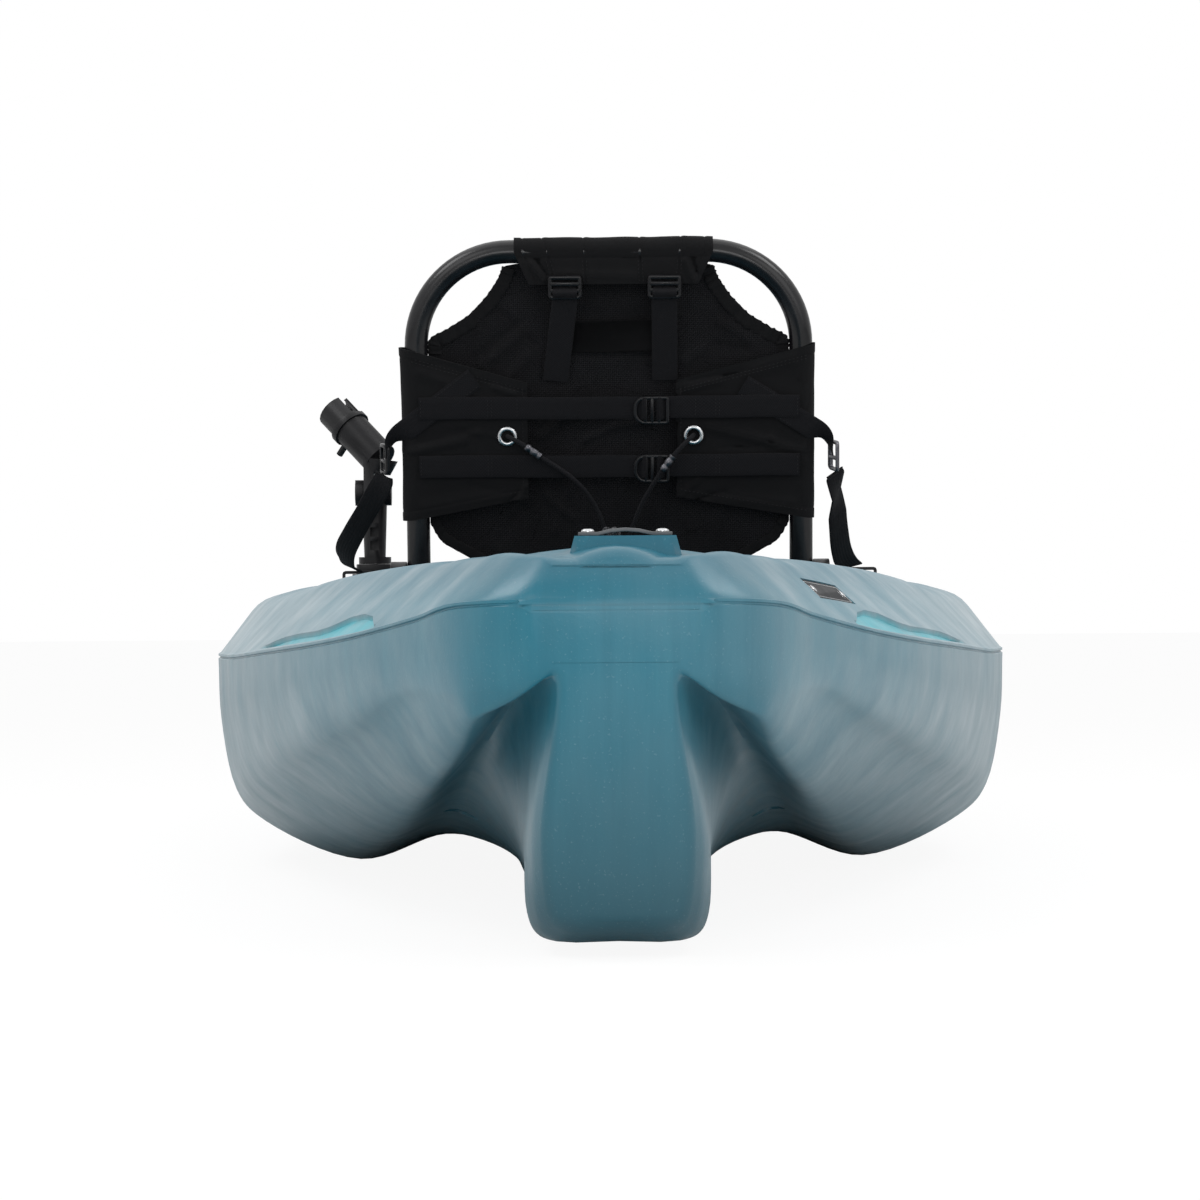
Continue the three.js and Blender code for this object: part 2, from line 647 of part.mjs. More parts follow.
function deckPoints(y, grown) {
  const share = y / halfLength;
  const { open, lip } = wellAt(y, grown);
  const height = railHeight(y);
  const shoulder = [line.shoulder.x(share), line.shoulder.z(share)];
  const rail = lip + Math.min(railWidth, (shoulder[0] - lip) * railPartShare);
  const slim = Math.min(1, lip / taperWidth);
  const wall = wellWallRun * slim;
  const fillet = wellFillet * slim;
  const closed = (x) => height + camber(share) * (1 - (x / lip) ** 2);
  const floor = (x, rise) => [x, mix(closed(x), floorHeight(y) + rise, open)];
  const foot = lip - wall - fillet;
  return [
    shoulder,
    [mix(shoulder[0], rail, 0.5), mix(shoulder[1], height, 0.5) + railSwell * slim],
    [rail, height],
    [lip, height],
    [lip - wall / 4, mix(closed(lip - wall / 4), height - wellLipDrop, open)],
    floor(lip - wall, fillet),
    floor(foot, 0),
    floor(foot / 2, 0),
    floor(0, 0),
  ];
}

// Half of a section from the keel up the side and back to the middle of the deck, drawn in by the wall if asked.
const thickEndShares = [-0.93, 0.81]; // past these stations the steep ends of the hull get a thicker skin
const thickGrowthShare = 0.06; // of the half length, over which the skin doubles
function halfSection(y, wall) {
  const share = y / halfLength;
  const points = [...bottomPoints(share), ...deckPoints(y, endWallShare * wall)];
  if (!wall) return points;
  const past = Math.max(0, thickEndShares[0] - share, share - thickEndShares[1]);
  const inset = wall * (1 + past / thickGrowthShare);
  return points.map((point, i) => {
    const last = points.length - 1;
    if (i === 0) return [0, point[1] + inset];
    if (i === last) return [0, point[1] - inset];
    const before = new THREE.Vector2(point[0] - points[i - 1][0], point[1] - points[i - 1][1]).normalize();
    const after = new THREE.Vector2(points[i + 1][0] - point[0], points[i + 1][1] - point[1]).normalize();
    const along = before.clone().add(after).normalize();
    const reach = inset / Math.max(0.7, Math.abs(along.dot(before)));
    return [Math.max(inset / 2, point[0] - along.y * reach), point[1] + along.x * reach];
  });
}

function rakeAt(y, height) {
  const share = y / halfLength;
  const [stern, bow] = rakeFadeShares;
  if (share < stern) return smooth((stern - share) / (1 + stern)) * sternRake(height / hullDepth);
  if (share > bow) return -smooth((share - bow) / (1 - bow)) * bowRake(height / hullDepth);
  return 0;
}

// A closed skin through the sections at the given places.
function loft(places, inset) {
  const corners = [];
  const faces = [];
  let half = 0;
  for (const y of places) {
    const section = halfSection(y, inset);
    half = section.length;
    const place = ([x, z], side) => [x * side, y + rakeAt(y, z), z];
    for (const point of section) corners.push(...place(point, 1));
    for (const point of section.slice(1, -1).reverse()) corners.push(...place(point, -1));
  }
  const ring = 2 * half - 2;
  for (let row = 0; row < places.length - 1; row++) {
    for (let i = 0; i < ring; i++) {
      const a = row * ring + i;
      const b = row * ring + ((i + 1) % ring);
      if (i < half - 1) faces.push(a, b, a + ring, b, b + ring, a + ring);
      else faces.push(a, b, b + ring, a, b + ring, a + ring);
    }
  }
  const cap = (start, flip) => {
    const outline = [];
    for (let i = 0; i < ring; i++) {
      outline.push(new THREE.Vector2(corners[3 * (start + i)], corners[3 * (start + i) + 2]));
    }
    for (const face of THREE.ShapeUtils.triangulateShape(outline, [])) {
      const turned = THREE.ShapeUtils.area(face.map((n) => outline[n])) > 0 === flip ? face.reverse() : face;
      faces.push(...turned.map((n) => start + n));
    }
  };
  cap(0, true);
  cap((places.length - 1) * ring, false);
  const geometry = new THREE.BufferGeometry();
  geometry.setAttribute('position', new THREE.Float32BufferAttribute(corners, 3));
  geometry.setIndex(faces);
  return solid(geometry);
}

// Where sections are taken: the named stations, the wells' ends and corners, and the breaks of the floor.
const sectionShares = [-1, -0.985, -0.965, -0.94, -0.91, -0.87, -0.7, -0.62, -0.54, -0.44, -0.16, 0, 0.3, 0.42];
sectionShares.push(0.85, 0.88, 0.92, 0.96, 1);
function wellPlaces(grown) {
  return wells.flatMap(([stern, bow]) => [
    stern - grown,
    stern - grown + wellEndRun,
    stern - grown + wellCornerRadius,
    bow + grown - wellCornerRadius,
    bow + grown - wellEndRun,
    bow + grown,
  ]);
}
const closeShare = 0.006; // a section this near to a well's end, as a share of the length, is left out
function sectionPlaces(shares, grown) {
  const kept = wellPlaces(grown);
  for (const y of [...floorPlaces, ...shares.map((share) => share * halfLength)]) {
    if (kept.every((other) => Math.abs(y - other) > closeShare * hullLength)) kept.push(y);
  }
  return kept.sort((a, b) => a - b);
}
const cavityShares = [-0.965, -0.94, -0.91, -0.87, -0.7, -0.54, -0.16, 0.3, 0.42, 0.85, 0.88];
const endWallShare = 2.5; // the cavity stays this many walls short of a well's end

// Height of the deck's crown, and the flat tops of the pads and the drain boss on it.
const crownHeight = (y) => railHeight(y) + camber(y / halfLength);
const padTop = (y) => crownHeight(y) + padRise;
const drainTop = crownHeight(drainPlace) + drainBossRise;

function makePad(x, y) {
  const low = [x - padWidth / 2, y - padLength / 2];
  const high = [x + padWidth / 2, y + padLength / 2];
  const depth = padRoot + padRise - 2 * padEdge;
  const bevel = { bevelThickness: padEdge, bevelSize: padEdge, bevelOffset: -padEdge, bevelSegments: 2 };
  const geometry = new THREE.ExtrudeGeometry(toShape(roundedBox(low, high, padCorner)), { depth, ...bevel });
  geometry.translate(0, 0, padTop(y) - padEdge - depth);
  return solid(geometry);
}

// The plane of the starboard quarter where the plate sits: along the hull, down the side, and out.
function quarterFrame() {
  const at = (y) => {
    const share = y / halfLength;
    const x = mix(line.shoulder.x(share), line.seam.x(share), plateDownShare);
    const z = mix(line.shoulder.z(share), line.seam.z(share), plateDownShare);
    return new THREE.Vector3(x, y + rakeAt(y, z), z);
  };
  const share = platePlace / halfLength;
  const along = at(platePlace + plateLength / 2).sub(at(platePlace - plateLength / 2)).normalize();
  const down = new THREE.Vector3(
    line.seam.x(share) - line.shoulder.x(share),
    0,
    line.seam.z(share) - line.shoulder.z(share),
  );
  down.addScaledVector(along, -down.dot(along)).normalize();
  const out = along.clone().cross(down).negate();
  return new THREE.Matrix4().makeBasis(along, down.negate(), out).setPosition(at(platePlace));
}
function onQuarter(gap, corner, from, to) {
  const half = [plateLength / 2 + gap, plateHeight / 2 + gap];
  const outline = roundedBox([-half[0], -half[1]], half, corner + gap);
  return slab('z', outline, from, to).transform(quarterFrame().elements);
}

const handleEnds = [
  [padShift, padPlace],
  [0, bowHandlePlace],
];
const screwPlaces = handleEnds.map(([x, y]) =>
  [-1, 1].map((side) => [x + side * (handleSpan / 2 - handleScrewInset), y]),
);

function makeHull() {
  const outer = loft(sectionPlaces(sectionShares, 0), 0);
  const inner = loft(sectionPlaces(cavityShares, endWallShare * hullWall), hullWall);
  const scuppers = scupperPlaces.flatMap((y) => [-scupperSpread, scupperSpread].map((x) => [x, y]));
  const tubeRadius = scupperBore / 2 + scupperWall;
  const through = (x, y, radius) => bar([x, y, -cutOverrun], [x, y, hullDepth], radius);
  const upright = (x, y, low, high, radius) => bar([x, y, low], [x, y, high], radius, fineSides);
  const bossFoot = drainTop - drainBossRoot;
  const boreFoot = drainTop - plugLength - cutOverrun;
  let body = outer.subtract(inner).add(upright(0, drainPlace, bossFoot, drainTop, drainBossWidth / 2));
  body = body.subtract(upright(0, drainPlace, boreFoot, drainTop + cutOverrun, drainBore / 2));
  for (const [x, y] of scuppers) body = body.add(outer.intersect(through(x, y, tubeRadius)));
  for (const [x, y] of scuppers) body = body.subtract(through(x, y, scupperBore / 2));
  for (const [x, y] of handleEnds) body = body.add(makePad(x, y));
  for (const [x, y] of screwPlaces.flat()) {
    const low = padTop(y) - screwDepth;
    body = body.subtract(upright(x, y, low, padTop(y) + cutOverrun, screwShankRadius + seatGap));
  }
  const cordTop = crownHeight(knotPlace[1]) + cutOverrun;
  const cordHole = deckCordDiameter / 2 + seatGap;
  body = body.subtract(upright(...knotPlace, cordTop - deckCordLength - 2 * cutOverrun, cordTop, cordHole));
  const ends = [footRailStart - footBossMargin, footRailStart + footRailLength + footBossMargin];
  const heights = [footBossPlace - footBossHeight / 2, footBossPlace + footBossHeight / 2];
  for (const side of [-1, 1]) {
    const plan = [
      [side * footBossFace, ends[0]],
      [side * footBossBacks[0], ends[0]],
      [side * footBossBacks[1], ends[1]],
      [side * footBossFace, ends[1]],
    ];
    body = body.add(slab('z', plan, ...heights));
  }
  body = body.add(outer.intersect(onQuarter(plateBacking, plateCorner, -plateDepth - plateBacking, 0)));
  return body.subtract(onQuarter(seatGap, plateCorner, -plateDepth, plateBacking));
}

addPart(kayak, 'hull', makeHull(), hullPlastic);

// Identification plate with its two rivet heads.
const rivetAt = (side) => circle(side * (plateLength / 2 - rivetInset), 0, rivetRadius, roundSides);
const plateFoot = seatGap - plateDepth;
let plate = onQuarter(0, plateCorner, plateFoot, plateFoot + plateThickness);
for (const side of [-1, 1]) {
  const head = slab('z', rivetAt(side), plateFoot + plateThickness / 2, plateFoot + plateThickness + rivetHeight);
  plate = plate.add(head.transform(quarterFrame().elements));
}
addPart(kayak, 'id_plate', plate, blackPlastic);

// Strap handles, flat at both ends and bowed up between, with a screw at each end.
function makeHandle(x, y) {
  const foot = padTop(y) + seatGap;
  const bow = handleSpan / 2 - handleFlat;
  const shares = [0, 0.25, 0.5, 0.75, 1];
  const under = [[-handleSpan / 2, 0], [-bow, 0]];
  for (const share of shares.slice(1, -1)) under.push([mix(-bow, bow, share), handleBow * 4 * share * (1 - share)]);
  under.push([bow, 0], [handleSpan / 2, 0]);
  const over = under.map(([u, v]) => [u, v + handleThickness]).reverse();
  const outline = [...under, ...over].map(([u, v]) => [x + u, foot + v]);
  let body = slab('y', outline, y - handleWidth / 2, y + handleWidth / 2);
  for (const side of [-1, 1]) {
    const place = x + side * (handleSpan / 2 - handleScrewInset);
    const top = foot + handleThickness + cutOverrun;
    body = body.subtract(bar([place, y, foot - cutOverrun], [place, y, top], screwShankRadius + seatGap));
  }
  return body;
}
function makeScrew(x, y) {
  const seat = padTop(y) + handleThickness + 2 * seatGap;
  const foot = padTop(y) - screwDepth + seatGap;
  const profile = [
    [0, foot],
    [screwShankRadius, foot],
    [screwShankRadius, seat],
    [screwHeadRadius, seat],
    [screwHeadRadius, seat + screwHeadHeight / 2],
    [screwHeadRadius / 2, seat + screwHeadHeight],
    [0, seat + screwHeadHeight],
  ];
  return turned(profile, x, y, 0, roundSides);
}
handleEnds.forEach(([x, y], i) => {
  const end = ['stern', 'bow'][i];
  addPart(kayak, `${end}_handle`, makeHandle(x, y), greyStrap);
  screwPlaces[i].forEach((place, n) => {
    addPart(kayak, `${end}_handle_screw_${['port', 'starboard'][n]}`, makeScrew(...place), silver);
  });
});

// Drain plug: a flange over the boss, a shank in its bore and a grip across the top.
const plugFoot = drainTop + seatGap;
const plugProfile = [
  [0, -plugLength],
  [drainBore / 2 - seatGap, -plugLength],
  [drainBore / 2 - seatGap, 0],
  [plugFlangeRadius, 0],
  [plugFlangeRadius, plugFlangeHeight],
  [0, plugFlangeHeight],
];
const plugGrip = block(
  [-plugGripLength / 2, drainPlace - plugGripWidth / 2, plugFoot + plugFlangeHeight / 2],
  [plugGripLength / 2, drainPlace + plugGripWidth / 2, plugFoot + plugFlangeHeight + plugGripHeight],
);
const plug = turned(plugProfile, 0, drainPlace, plugFoot, fineSides).add(plugGrip);
addPart(kayak, 'drain_plug', plug, blackPlastic);

// Stopper knot on the stern deck, with the cord that it holds passing down through the skin.
const knotFoot = crownHeight(knotPlace[1]) + seatGap;
const knotBall = new THREE.SphereGeometry(knotRadius, roundSides, 8);
knotBall.translate(...knotPlace, knotFoot + knotRadius);
const cordEnds = [knotFoot + knotRadius, knotFoot - deckCordLength].map((z) => [...knotPlace, z]);
addPart(kayak, 'deck_cord', solid(knotBall).add(bar(...cordEnds, deckCordDiameter / 2)), blackWebbing);

// Gear tracks with a T-slot, and the strap anchors.
const trackFoot = gunwaleHeight + seatGap;
const trackTop = trackFoot + trackHeight;
function makeTrack(x) {
  const half = trackWidth / 2;
  const lip = trackTop - slotLip;
  const right = [
    [half, trackFoot],
    [half, trackTop],
    [slotMouth / 2, trackTop],
    [slotMouth / 2, lip],
    [slotWidth / 2, lip],
    [slotWidth / 2, lip - slotHeight],
  ];
  const outline = [...right, ...right.map(([u, v]) => [-u, v]).reverse()].map(([u, v]) => [x + u, v]);
  return slab('y', outline, trackStart, trackStart + trackLength);
}
function makeAnchor(side) {
  const [x, y] = [side * anchorPlace[0], anchorPlace[1]];
  const [width, length, height] = anchorSize;
  const base = roundedBox([x - width / 2, y - length / 2], [x + width / 2, y + length / 2], buckleCorner);
  const low = [x - anchorLoopWidth / 2, trackFoot + height];
  const high = [x + anchorLoopWidth / 2, trackFoot + height + anchorLoopHeight];
  const rim = roundedBox(
    [low[0] - anchorLoopWall, trackFoot],
    [high[0] + anchorLoopWall, high[1] + anchorLoopWall],
    anchorLoopWall,
  );
  const loop = slab('y', rim, y - anchorLoopWall / 2, y + anchorLoopWall / 2, [boxOutline(low, high)]);
  return slab('z', base, trackFoot, trackFoot + height).add(loop);
}

// Foot rails with a T-slot that opens to the middle, and the pegs that slide in them.
function makeFootRail(side) {
  const back = footBossFace - seatGap;
  const face = back - footRailDepth;
  const across = (from, to) => [side * from, side * to].sort((a, b) => a - b);
  const cube = (xs, ys, half) => {
    const [a, b] = across(...xs);
    return block([a, ys[0], footBossPlace - half], [b, ys[1], footBossPlace + half]);
  };
  const ends = [footRailStart, footRailStart + footRailLength];
  const slot = [ends[0] + footSlotMargin, ends[1] - footSlotMargin];
  const inner = face + footSlotLip;
  const rail = cube([face, back], ends, footRailHeight / 2);
  const mouth = cube([face - cutOverrun, inner + footSlotDepth], slot, footSlotMouth / 2);
  return rail.subtract(mouth).subtract(cube([inner, inner + footSlotDepth], slot, footSlotHeight / 2));
}
function makePeg(side) {
  const face = footBossFace - seatGap - footRailDepth;
  const shoe = face - seatGap;
  const head = face + footSlotLip + seatGap;
  const across = (from, to) => [side * from, side * to].sort((a, b) => a - b);
  const cube = (from, to, halfLong, halfTall) => {
    const [a, b] = across(from, to);
    return block([a, pegPlace - halfLong, footBossPlace - halfTall], [b, pegPlace + halfLong, footBossPlace + halfTall]);
  };
  const [a, b] = across(shoe - pegReach, shoe - pegShoeDepth / 2);
  const tread = roundedBox([a, footBossPlace - pegTall / 2], [b, footBossPlace + pegTall / 2], pegCorner, 3);
  const neckHalf = footSlotMouth / 2 - seatGap;
  return slab('y', tread, pegPlace - pegThick / 2, pegPlace + pegThick / 2)
    .add(cube(shoe - pegShoeDepth, shoe, pegShoe / 2, pegShoeHeight / 2))
    .add(cube(shoe - pegShoeDepth / 2, head + footSlotDepth / 2, pegShoe / 2 - pegThick, neckHalf))
    .add(cube(head, face + footSlotLip + footSlotDepth - seatGap, pegShoe / 2 - pegThick, footSlotHeight / 2 - seatGap));
}
const sides = { port: -1, starboard: 1 };
for (const [name, side] of Object.entries(sides)) {
  addPart(kayak, `gear_track_${name}`, makeTrack(side * trackPlace), blackPlastic);
  addPart(kayak, `strap_anchor_${name}`, makeAnchor(side), blackPlastic);
  addPart(kayak, `foot_rail_${name}`, makeFootRail(side), blackPlastic);
  addPart(kayak, `foot_peg_${name}`, makePeg(side), blackPlastic);
}

// Seat base: side rails and front bar in one tube, two leg hoops on rubber feet, and a hung mesh.
const backLeg = seatWidth / 2 - tubeDiameter / 2;
const railPlace = backLeg - tubeDiameter - tubeGap;
const hoopTop = hingeHeight - tubeDiameter / 2 - seatGap;
const hoopLow = seatFloorHeight + seatGap + footPad + hoopDiameter / 2;
const baseEnd = hingePlace - tubeOverhang;
const baseCorners = [
  [-railPlace, baseEnd, hingeHeight],
  [-railPlace, baseFront, hingeHeight],
  [railPlace, baseFront, hingeHeight],
  [railPlace, baseEnd, hingeHeight],
];
const hingeHole = bar([-seatWidth, hingePlace, hingeHeight], [seatWidth, hingePlace, hingeHeight], boltRadius + seatGap);
addPart(kayak, 'seat_base_frame', tube(bent(baseCorners, baseCorner, 5), tubeDiameter).subtract(hingeHole), blackTube);

function makeBaseMesh() {
  const half = railPlace - tubeDiameter / 2 - seatGap;
  const ends = [hingePlace + tubeOverhang, baseFront - tubeDiameter / 2 - seatGap];
  const columns = 10;
  const top = Array.from({ length: columns + 1 }, (_, i) => {
    const share = (2 * i) / columns - 1;
    return [share * half, hingeHeight + meshThickness / 2 - seatSag * (1 - share * share)];
  });
  const outline = [...top, ...top.map(([x, z]) => [x, z - meshThickness]).reverse()];
  const plan = [
    [-half, ends[0]],
    ...roundedBox([-half, ends[0]], [half, ends[1]], seatMeshCorner, 4).slice(0, 10).reverse(),
    [half, ends[0]],
  ];
  return slab('y', outline, ...ends).intersect(slab('z', plan, hingeHeight - hullDepth, hingeHeight + hullDepth));
}
addPart(kayak, 'seat_base_sling', makeBaseMesh(), blackMesh);

hoopPlaces.forEach((y, i) => {
  const place = ['rear', 'front'][i];
  const corners = [
    [-railPlace, y, hoopTop],
    [-railPlace, y, hoopLow],
    [railPlace, y, hoopLow],
    [railPlace, y, hoopTop],
  ];
  addPart(kayak, `leg_hoop_${place}`, tube(bent(corners, hoopCorner, 4), hoopDiameter), blackTube);
  for (const [name, side] of Object.entries(sides)) {
    const low = [side * footSpreadShare * halfSeat - footLength / 2, y - footWidth / 2, hoopLow - footPad - hoopDiameter / 2];
    const high = [low[0] + footLength, low[1] + footWidth, hoopLow];
    const channel = bar(
      [low[0] - cutOverrun, y, hoopLow],
      [high[0] + cutOverrun, y, hoopLow],
      hoopDiameter / 2 + seatGap,
      fineSides,
    );
    addPart(kayak, `seat_foot_${place}_${name}`, block(low, high).subtract(channel), blackRubber);
  }
});

// Hinge bolts: a nut inside the rail, a shaft through rail and leg, and a hand disc outside.
for (const [name, side] of Object.entries(sides)) {
  const at = (out) => [side * out, hingePlace, hingeHeight];
  const nutFace = railPlace - tubeDiameter / 2 - seatGap;
  const discFace = backLeg + tubeDiameter / 2 + seatGap;
  const body = bar(at(nutFace - boltNutHeight), at(discFace + hingeDiscWidth / 2), boltRadius)
    .add(bar(at(nutFace - boltNutHeight), at(nutFace), boltNutRadius, 6))
    .add(bar(at(discFace), at(discFace + hingeDiscWidth), hingeDiscRadius, fineSides));
  addPart(kayak, `hinge_bolt_${name}`, body, blackPlastic);
}

// Seat back, drawn upright from the hinge and leant back as one group.
const back = new THREE.Group();
back.position.set(0, hingePlace, hingeHeight);
back.rotation.x = THREE.MathUtils.degToRad(reclineDegrees);
kayak.add(back);
const topTube = (seatBackHeight - tubeDiameter / 2) / Math.cos(back.rotation.x);
const flapOuterEdge = flapOuterShares.map((share) => share * topTube);
const flapInnerEdge = flapInnerEdgeShares.map((share) => share * topTube);
const grommetHeight = grommetHeightShare * topTube;
const sideBuckleHeight = sideBuckleHeightShare * topTube;
const backCorner = backCornerShare * halfSeat;
const backCorners = [
  [-backLeg, 0, -tubeOverhang],
  [-backLeg, 0, topTube],
  [backLeg, 0, topTube],
  [backLeg, 0, -tubeOverhang],
];
const legHole = bar([-seatWidth, 0, 0], [seatWidth, 0, 0], boltRadius + seatGap);
addPart(back, 'seat_back_frame', tube(bent(backCorners, backCorner, 8), tubeDiameter).subtract(legHole), blackTube);

// Half outline of the back's mesh, as shares of its half width and of its height.
const meshShares = [
  [0.61, 0.055], [0.76, 0.107], [0.93, 0.16], [1, 0.22], [1, 0.73], [0.978, 0.793], [0.889, 0.806],
  [0.774, 0.846], [0.678, 0.9], [0.611, 0.953], [0.583, 0.992], [0.5, 1],
];
const meshHalf = backLeg - tubeDiameter / 2 - seatGap;
const meshTop = topTube - tubeDiameter / 2 - seatGap;
const meshRight = meshShares.map(([out, up]) => [out * meshHalf, up * meshTop]);
const meshOutline = [...meshRight, ...meshRight.map(([x, z]) => [-x, z]).reverse()];
addPart(back, 'seat_back_sling', slab('y', meshOutline, -meshThickness / 2, meshThickness / 2), blackMesh);

// Fabric wrapped round a tube: its outline in the plane square to the tube.
const wrapInner = tubeDiameter / 2 + seatGap;
const wrapOuter = wrapInner + fabricThickness;
function wrapOutline(reach, tongue, steps = 8) {
  const arc = (radius) =>
    Array.from({ length: steps + 1 }, (_, i) => {
      const angle = (-0.5 + i / steps) * Math.PI;
      return [radius * Math.cos(angle), radius * Math.sin(angle)];
    });
  const outer = [[-reach, -wrapOuter], ...arc(wrapOuter), [-tongue, wrapOuter]];
  const inner = [[-tongue, wrapInner], ...arc(wrapInner).reverse(), [-reach, -wrapInner]];
  return [...outer, ...inner];
}
function makeFlap(name, side) {
  const inner = flapInnerShares[name] * halfSeat;
  const reach = backLeg - inner;
  const plan = wrapOutline(reach, flapTongue).map(([u, v]) => [side * (backLeg + u), v]);
  const outer = backLeg + wrapOuter + cutOverrun;
  const face = [
    [side * outer, flapOuterEdge[0]],
    [side * outer, flapOuterEdge[1]],
    [side * (inner - cutOverrun), flapInnerEdge[1]],
    [side * (inner - cutOverrun), flapInnerEdge[0]],
  ];
  const eyelet = bar(
    [grommetShares[name] * halfSeat, -wrapOuter - cutOverrun, grommetHeight],
    [grommetShares[name] * halfSeat, -wrapInner + cutOverrun, grommetHeight],
    grommetBarrel + seatGap,
  );
  const stubOuter = halfSeat + sideBuckleReach - seatGap;
  const stub = [
    [side * (backLeg + wrapInner / 2), sideBuckleHeight + sideStubRise + sideStubWidth / 2],
    [side * stubOuter, sideBuckleHeight + sideStubWidth / 4],
    [side * stubOuter, sideBuckleHeight - sideStubWidth / 4],
    [side * (backLeg + wrapInner / 2), sideBuckleHeight + sideStubRise - sideStubWidth / 2],
  ];
  const leg = bar([side * backLeg, 0, 0], [side * backLeg, 0, topTube], wrapInner, fineSides);
  return slab('z', plan, ...flapOuterEdge)
    .intersect(slab('y', face, -seatWidth, seatWidth))
    .subtract(eyelet)
    .add(slab('y', stub, -sideStubWidth / 2, sideStubWidth / 2).subtract(leg));
}
for (const [name, side] of Object.entries(sides)) {
  addPart(back, `seat_back_flap_${name}`, makeFlap(name, side), blackWebbing);
  const x = grommetShares[name] * halfSeat;
  const face = -wrapOuter - seatGap;
  const at = (y) => [x, y, grommetHeight];
  const grommet = bar(at(face - grommetRise), at(face), grommetRadius, fineSides)
    .add(bar(at(face - grommetRise / 2), at(-wrapInner), grommetBarrel))
    .subtract(bar(at(face - grommetRise - cutOverrun), at(-wrapInner + cutOverrun), grommetHole));
  addPart(back, `grommet_${name}`, grommet, silver);
}

// Sleeve over the top tube, with a tail behind and drawn-in ends.
const sleeveTail = topTube - sleeveDrop;
const sleeveEnds = sleeveShares.map((share) => share * halfSeat);
const sleevePlan = wrapOutline(topTube - sleeveTail, sleeveFront).map(([u, v]) => [v, topTube + u]);
const sleeveFace = [
  [sleeveEnds[0], topTube + wrapOuter],
  [sleeveEnds[0], topTube],
  [sleeveEnds[0] + sleeveTaper, sleeveTail],
  [sleeveEnds[1] - sleeveTaper, sleeveTail],
  [sleeveEnds[1], topTube],
  [sleeveEnds[1], topTube + wrapOuter],
];
const sleeve = slab('x', sleevePlan, ...sleeveEnds).intersect(slab('y', sleeveFace, -seatWidth, seatWidth));
addPart(back, 'seat_back_sleeve', sleeve, blackWebbing);

// Upright straps from their buckles down to the mesh, and level straps across the flaps.
const bandFace = -wrapOuter - seatGap;
const riserEnds = [riserFootShare * topTube, topTube - riserDrop];
for (const [name, shares] of Object.entries(riserShares)) {
  const [foot, head] = shares.map((share) => share * halfSeat);
  const half = riserWidth / 2;
  const [low, high] = riserEnds;
  const face = [[foot - half, low], [foot + half, low], [head + half, high], [head - half, high]];
  const side = [
    [-riserFoot, low],
    [-riserFoot + strapThickness, low],
    [bandFace, high],
    [bandFace - strapThickness, high],
  ];
  const body = slab('y', face, -seatWidth, seatWidth).intersect(slab('x', side, -seatWidth, seatWidth));
  addPart(back, `riser_strap_${name}`, body, blackWebbing);
  const [width, height] = riserBuckleSize;
  const corner = [head - width / 2, high + seatGap];
  const far = [head + width / 2, high + seatGap + height];
  const frame = buckle('y', corner, far, bandFace - buckleThickness, bandFace, 1);
  addPart(back, `riser_buckle_${name}`, frame, blackPlastic);
}
const lumbarStrapEnds = lumbarStrapShares.map((share) => share * halfSeat);
const lumbarBucklePlace = lumbarBuckleShare * halfSeat;
for (const [name, rise] of Object.entries(lumbarStrapRises)) {
  const height = grommetHeight + rise;
  const low = [lumbarStrapEnds[0], bandFace - strapThickness, height - webbingWidth / 2];
  const high = [lumbarStrapEnds[1], bandFace, height + webbingWidth / 2];
  addPart(back, `lumbar_strap_${name}`, block(low, high), blackWebbing);
  const [width, tall] = lumbarBuckleSize;
  const face = bandFace - strapThickness - seatGap;
  const corner = [lumbarBucklePlace - width / 2, height - lumbarBuckleDrop - tall / 2];
  const far = [lumbarBucklePlace + width / 2, height - lumbarBuckleDrop + tall / 2];
  addPart(back, `lumbar_buckle_${name}`, buckle('y', corner, far, face - buckleThickness, face, 0), blackPlastic);
}

// Lumbar cord: from behind one flap out through its grommet, down to the mesh's hem and up to the other.
function makeLumbarCord() {
  const end = lumbarCordRoute[lumbarCordRoute.length - 1];
  const wider = (grommetShares.starboard * halfSeat) / end[0];
  const taller = grommetHeight / end[2];
  const route = lumbarCordRoute.map(([x, y, z]) => [x * wider, y, z * taller]);
  let cord = tube(route, lumbarCordDiameter, 10);
  for (const [from, to] of crimpSpans) {
    cord = cord.add(bar(route[from], route[to], crimpDiameter / 2, 10));
  }
  return cord;
}
addPart(back, 'lumbar_cord', makeLumbarCord(), blackWebbing);

// Side buckles at the ends of the flaps' stubs, and the straps from them down to the anchors.
for (const [name, side] of Object.entries(sides)) {
  const [thick, wide, tall] = sideBuckleSize;
  const xs = [side * (halfSeat + sideBuckleReach), side * (halfSeat + sideBuckleReach + thick)].sort((a, b) => a - b);
  const foot = sideBuckleHeight - tall / 2;
  const frame = buckle('x', [-wide / 2, foot], [wide / 2, foot + tall], ...xs, 1);
  addPart(back, `side_buckle_${name}`, frame, blackPlastic);
  const wider = (anchorPlace[0] + anchorEdge) / sideStrapRoutes.port[sideStrapRoutes.port.length - 1][0];
  const low = gunwaleHeight + sideStrapRise;
  const high = hingeHeight + sideBuckleHeight * Math.cos(back.rotation.x) - sideStrapDrop;
  const ups = sideStrapUpShares[name].map((share) => mix(low, high, share));
  const route = sideStrapRoutes[name].map(([x, y], i) => [side * x * wider, y, ups[i]]);
  const turns = sideStrapTwistShares[name].map((share) => [side * share, 1 - share, 0]);
  addPart(kayak, `side_strap_${name}`, strap(route, turns, webbingWidth, strapThickness), blackWebbing);
}

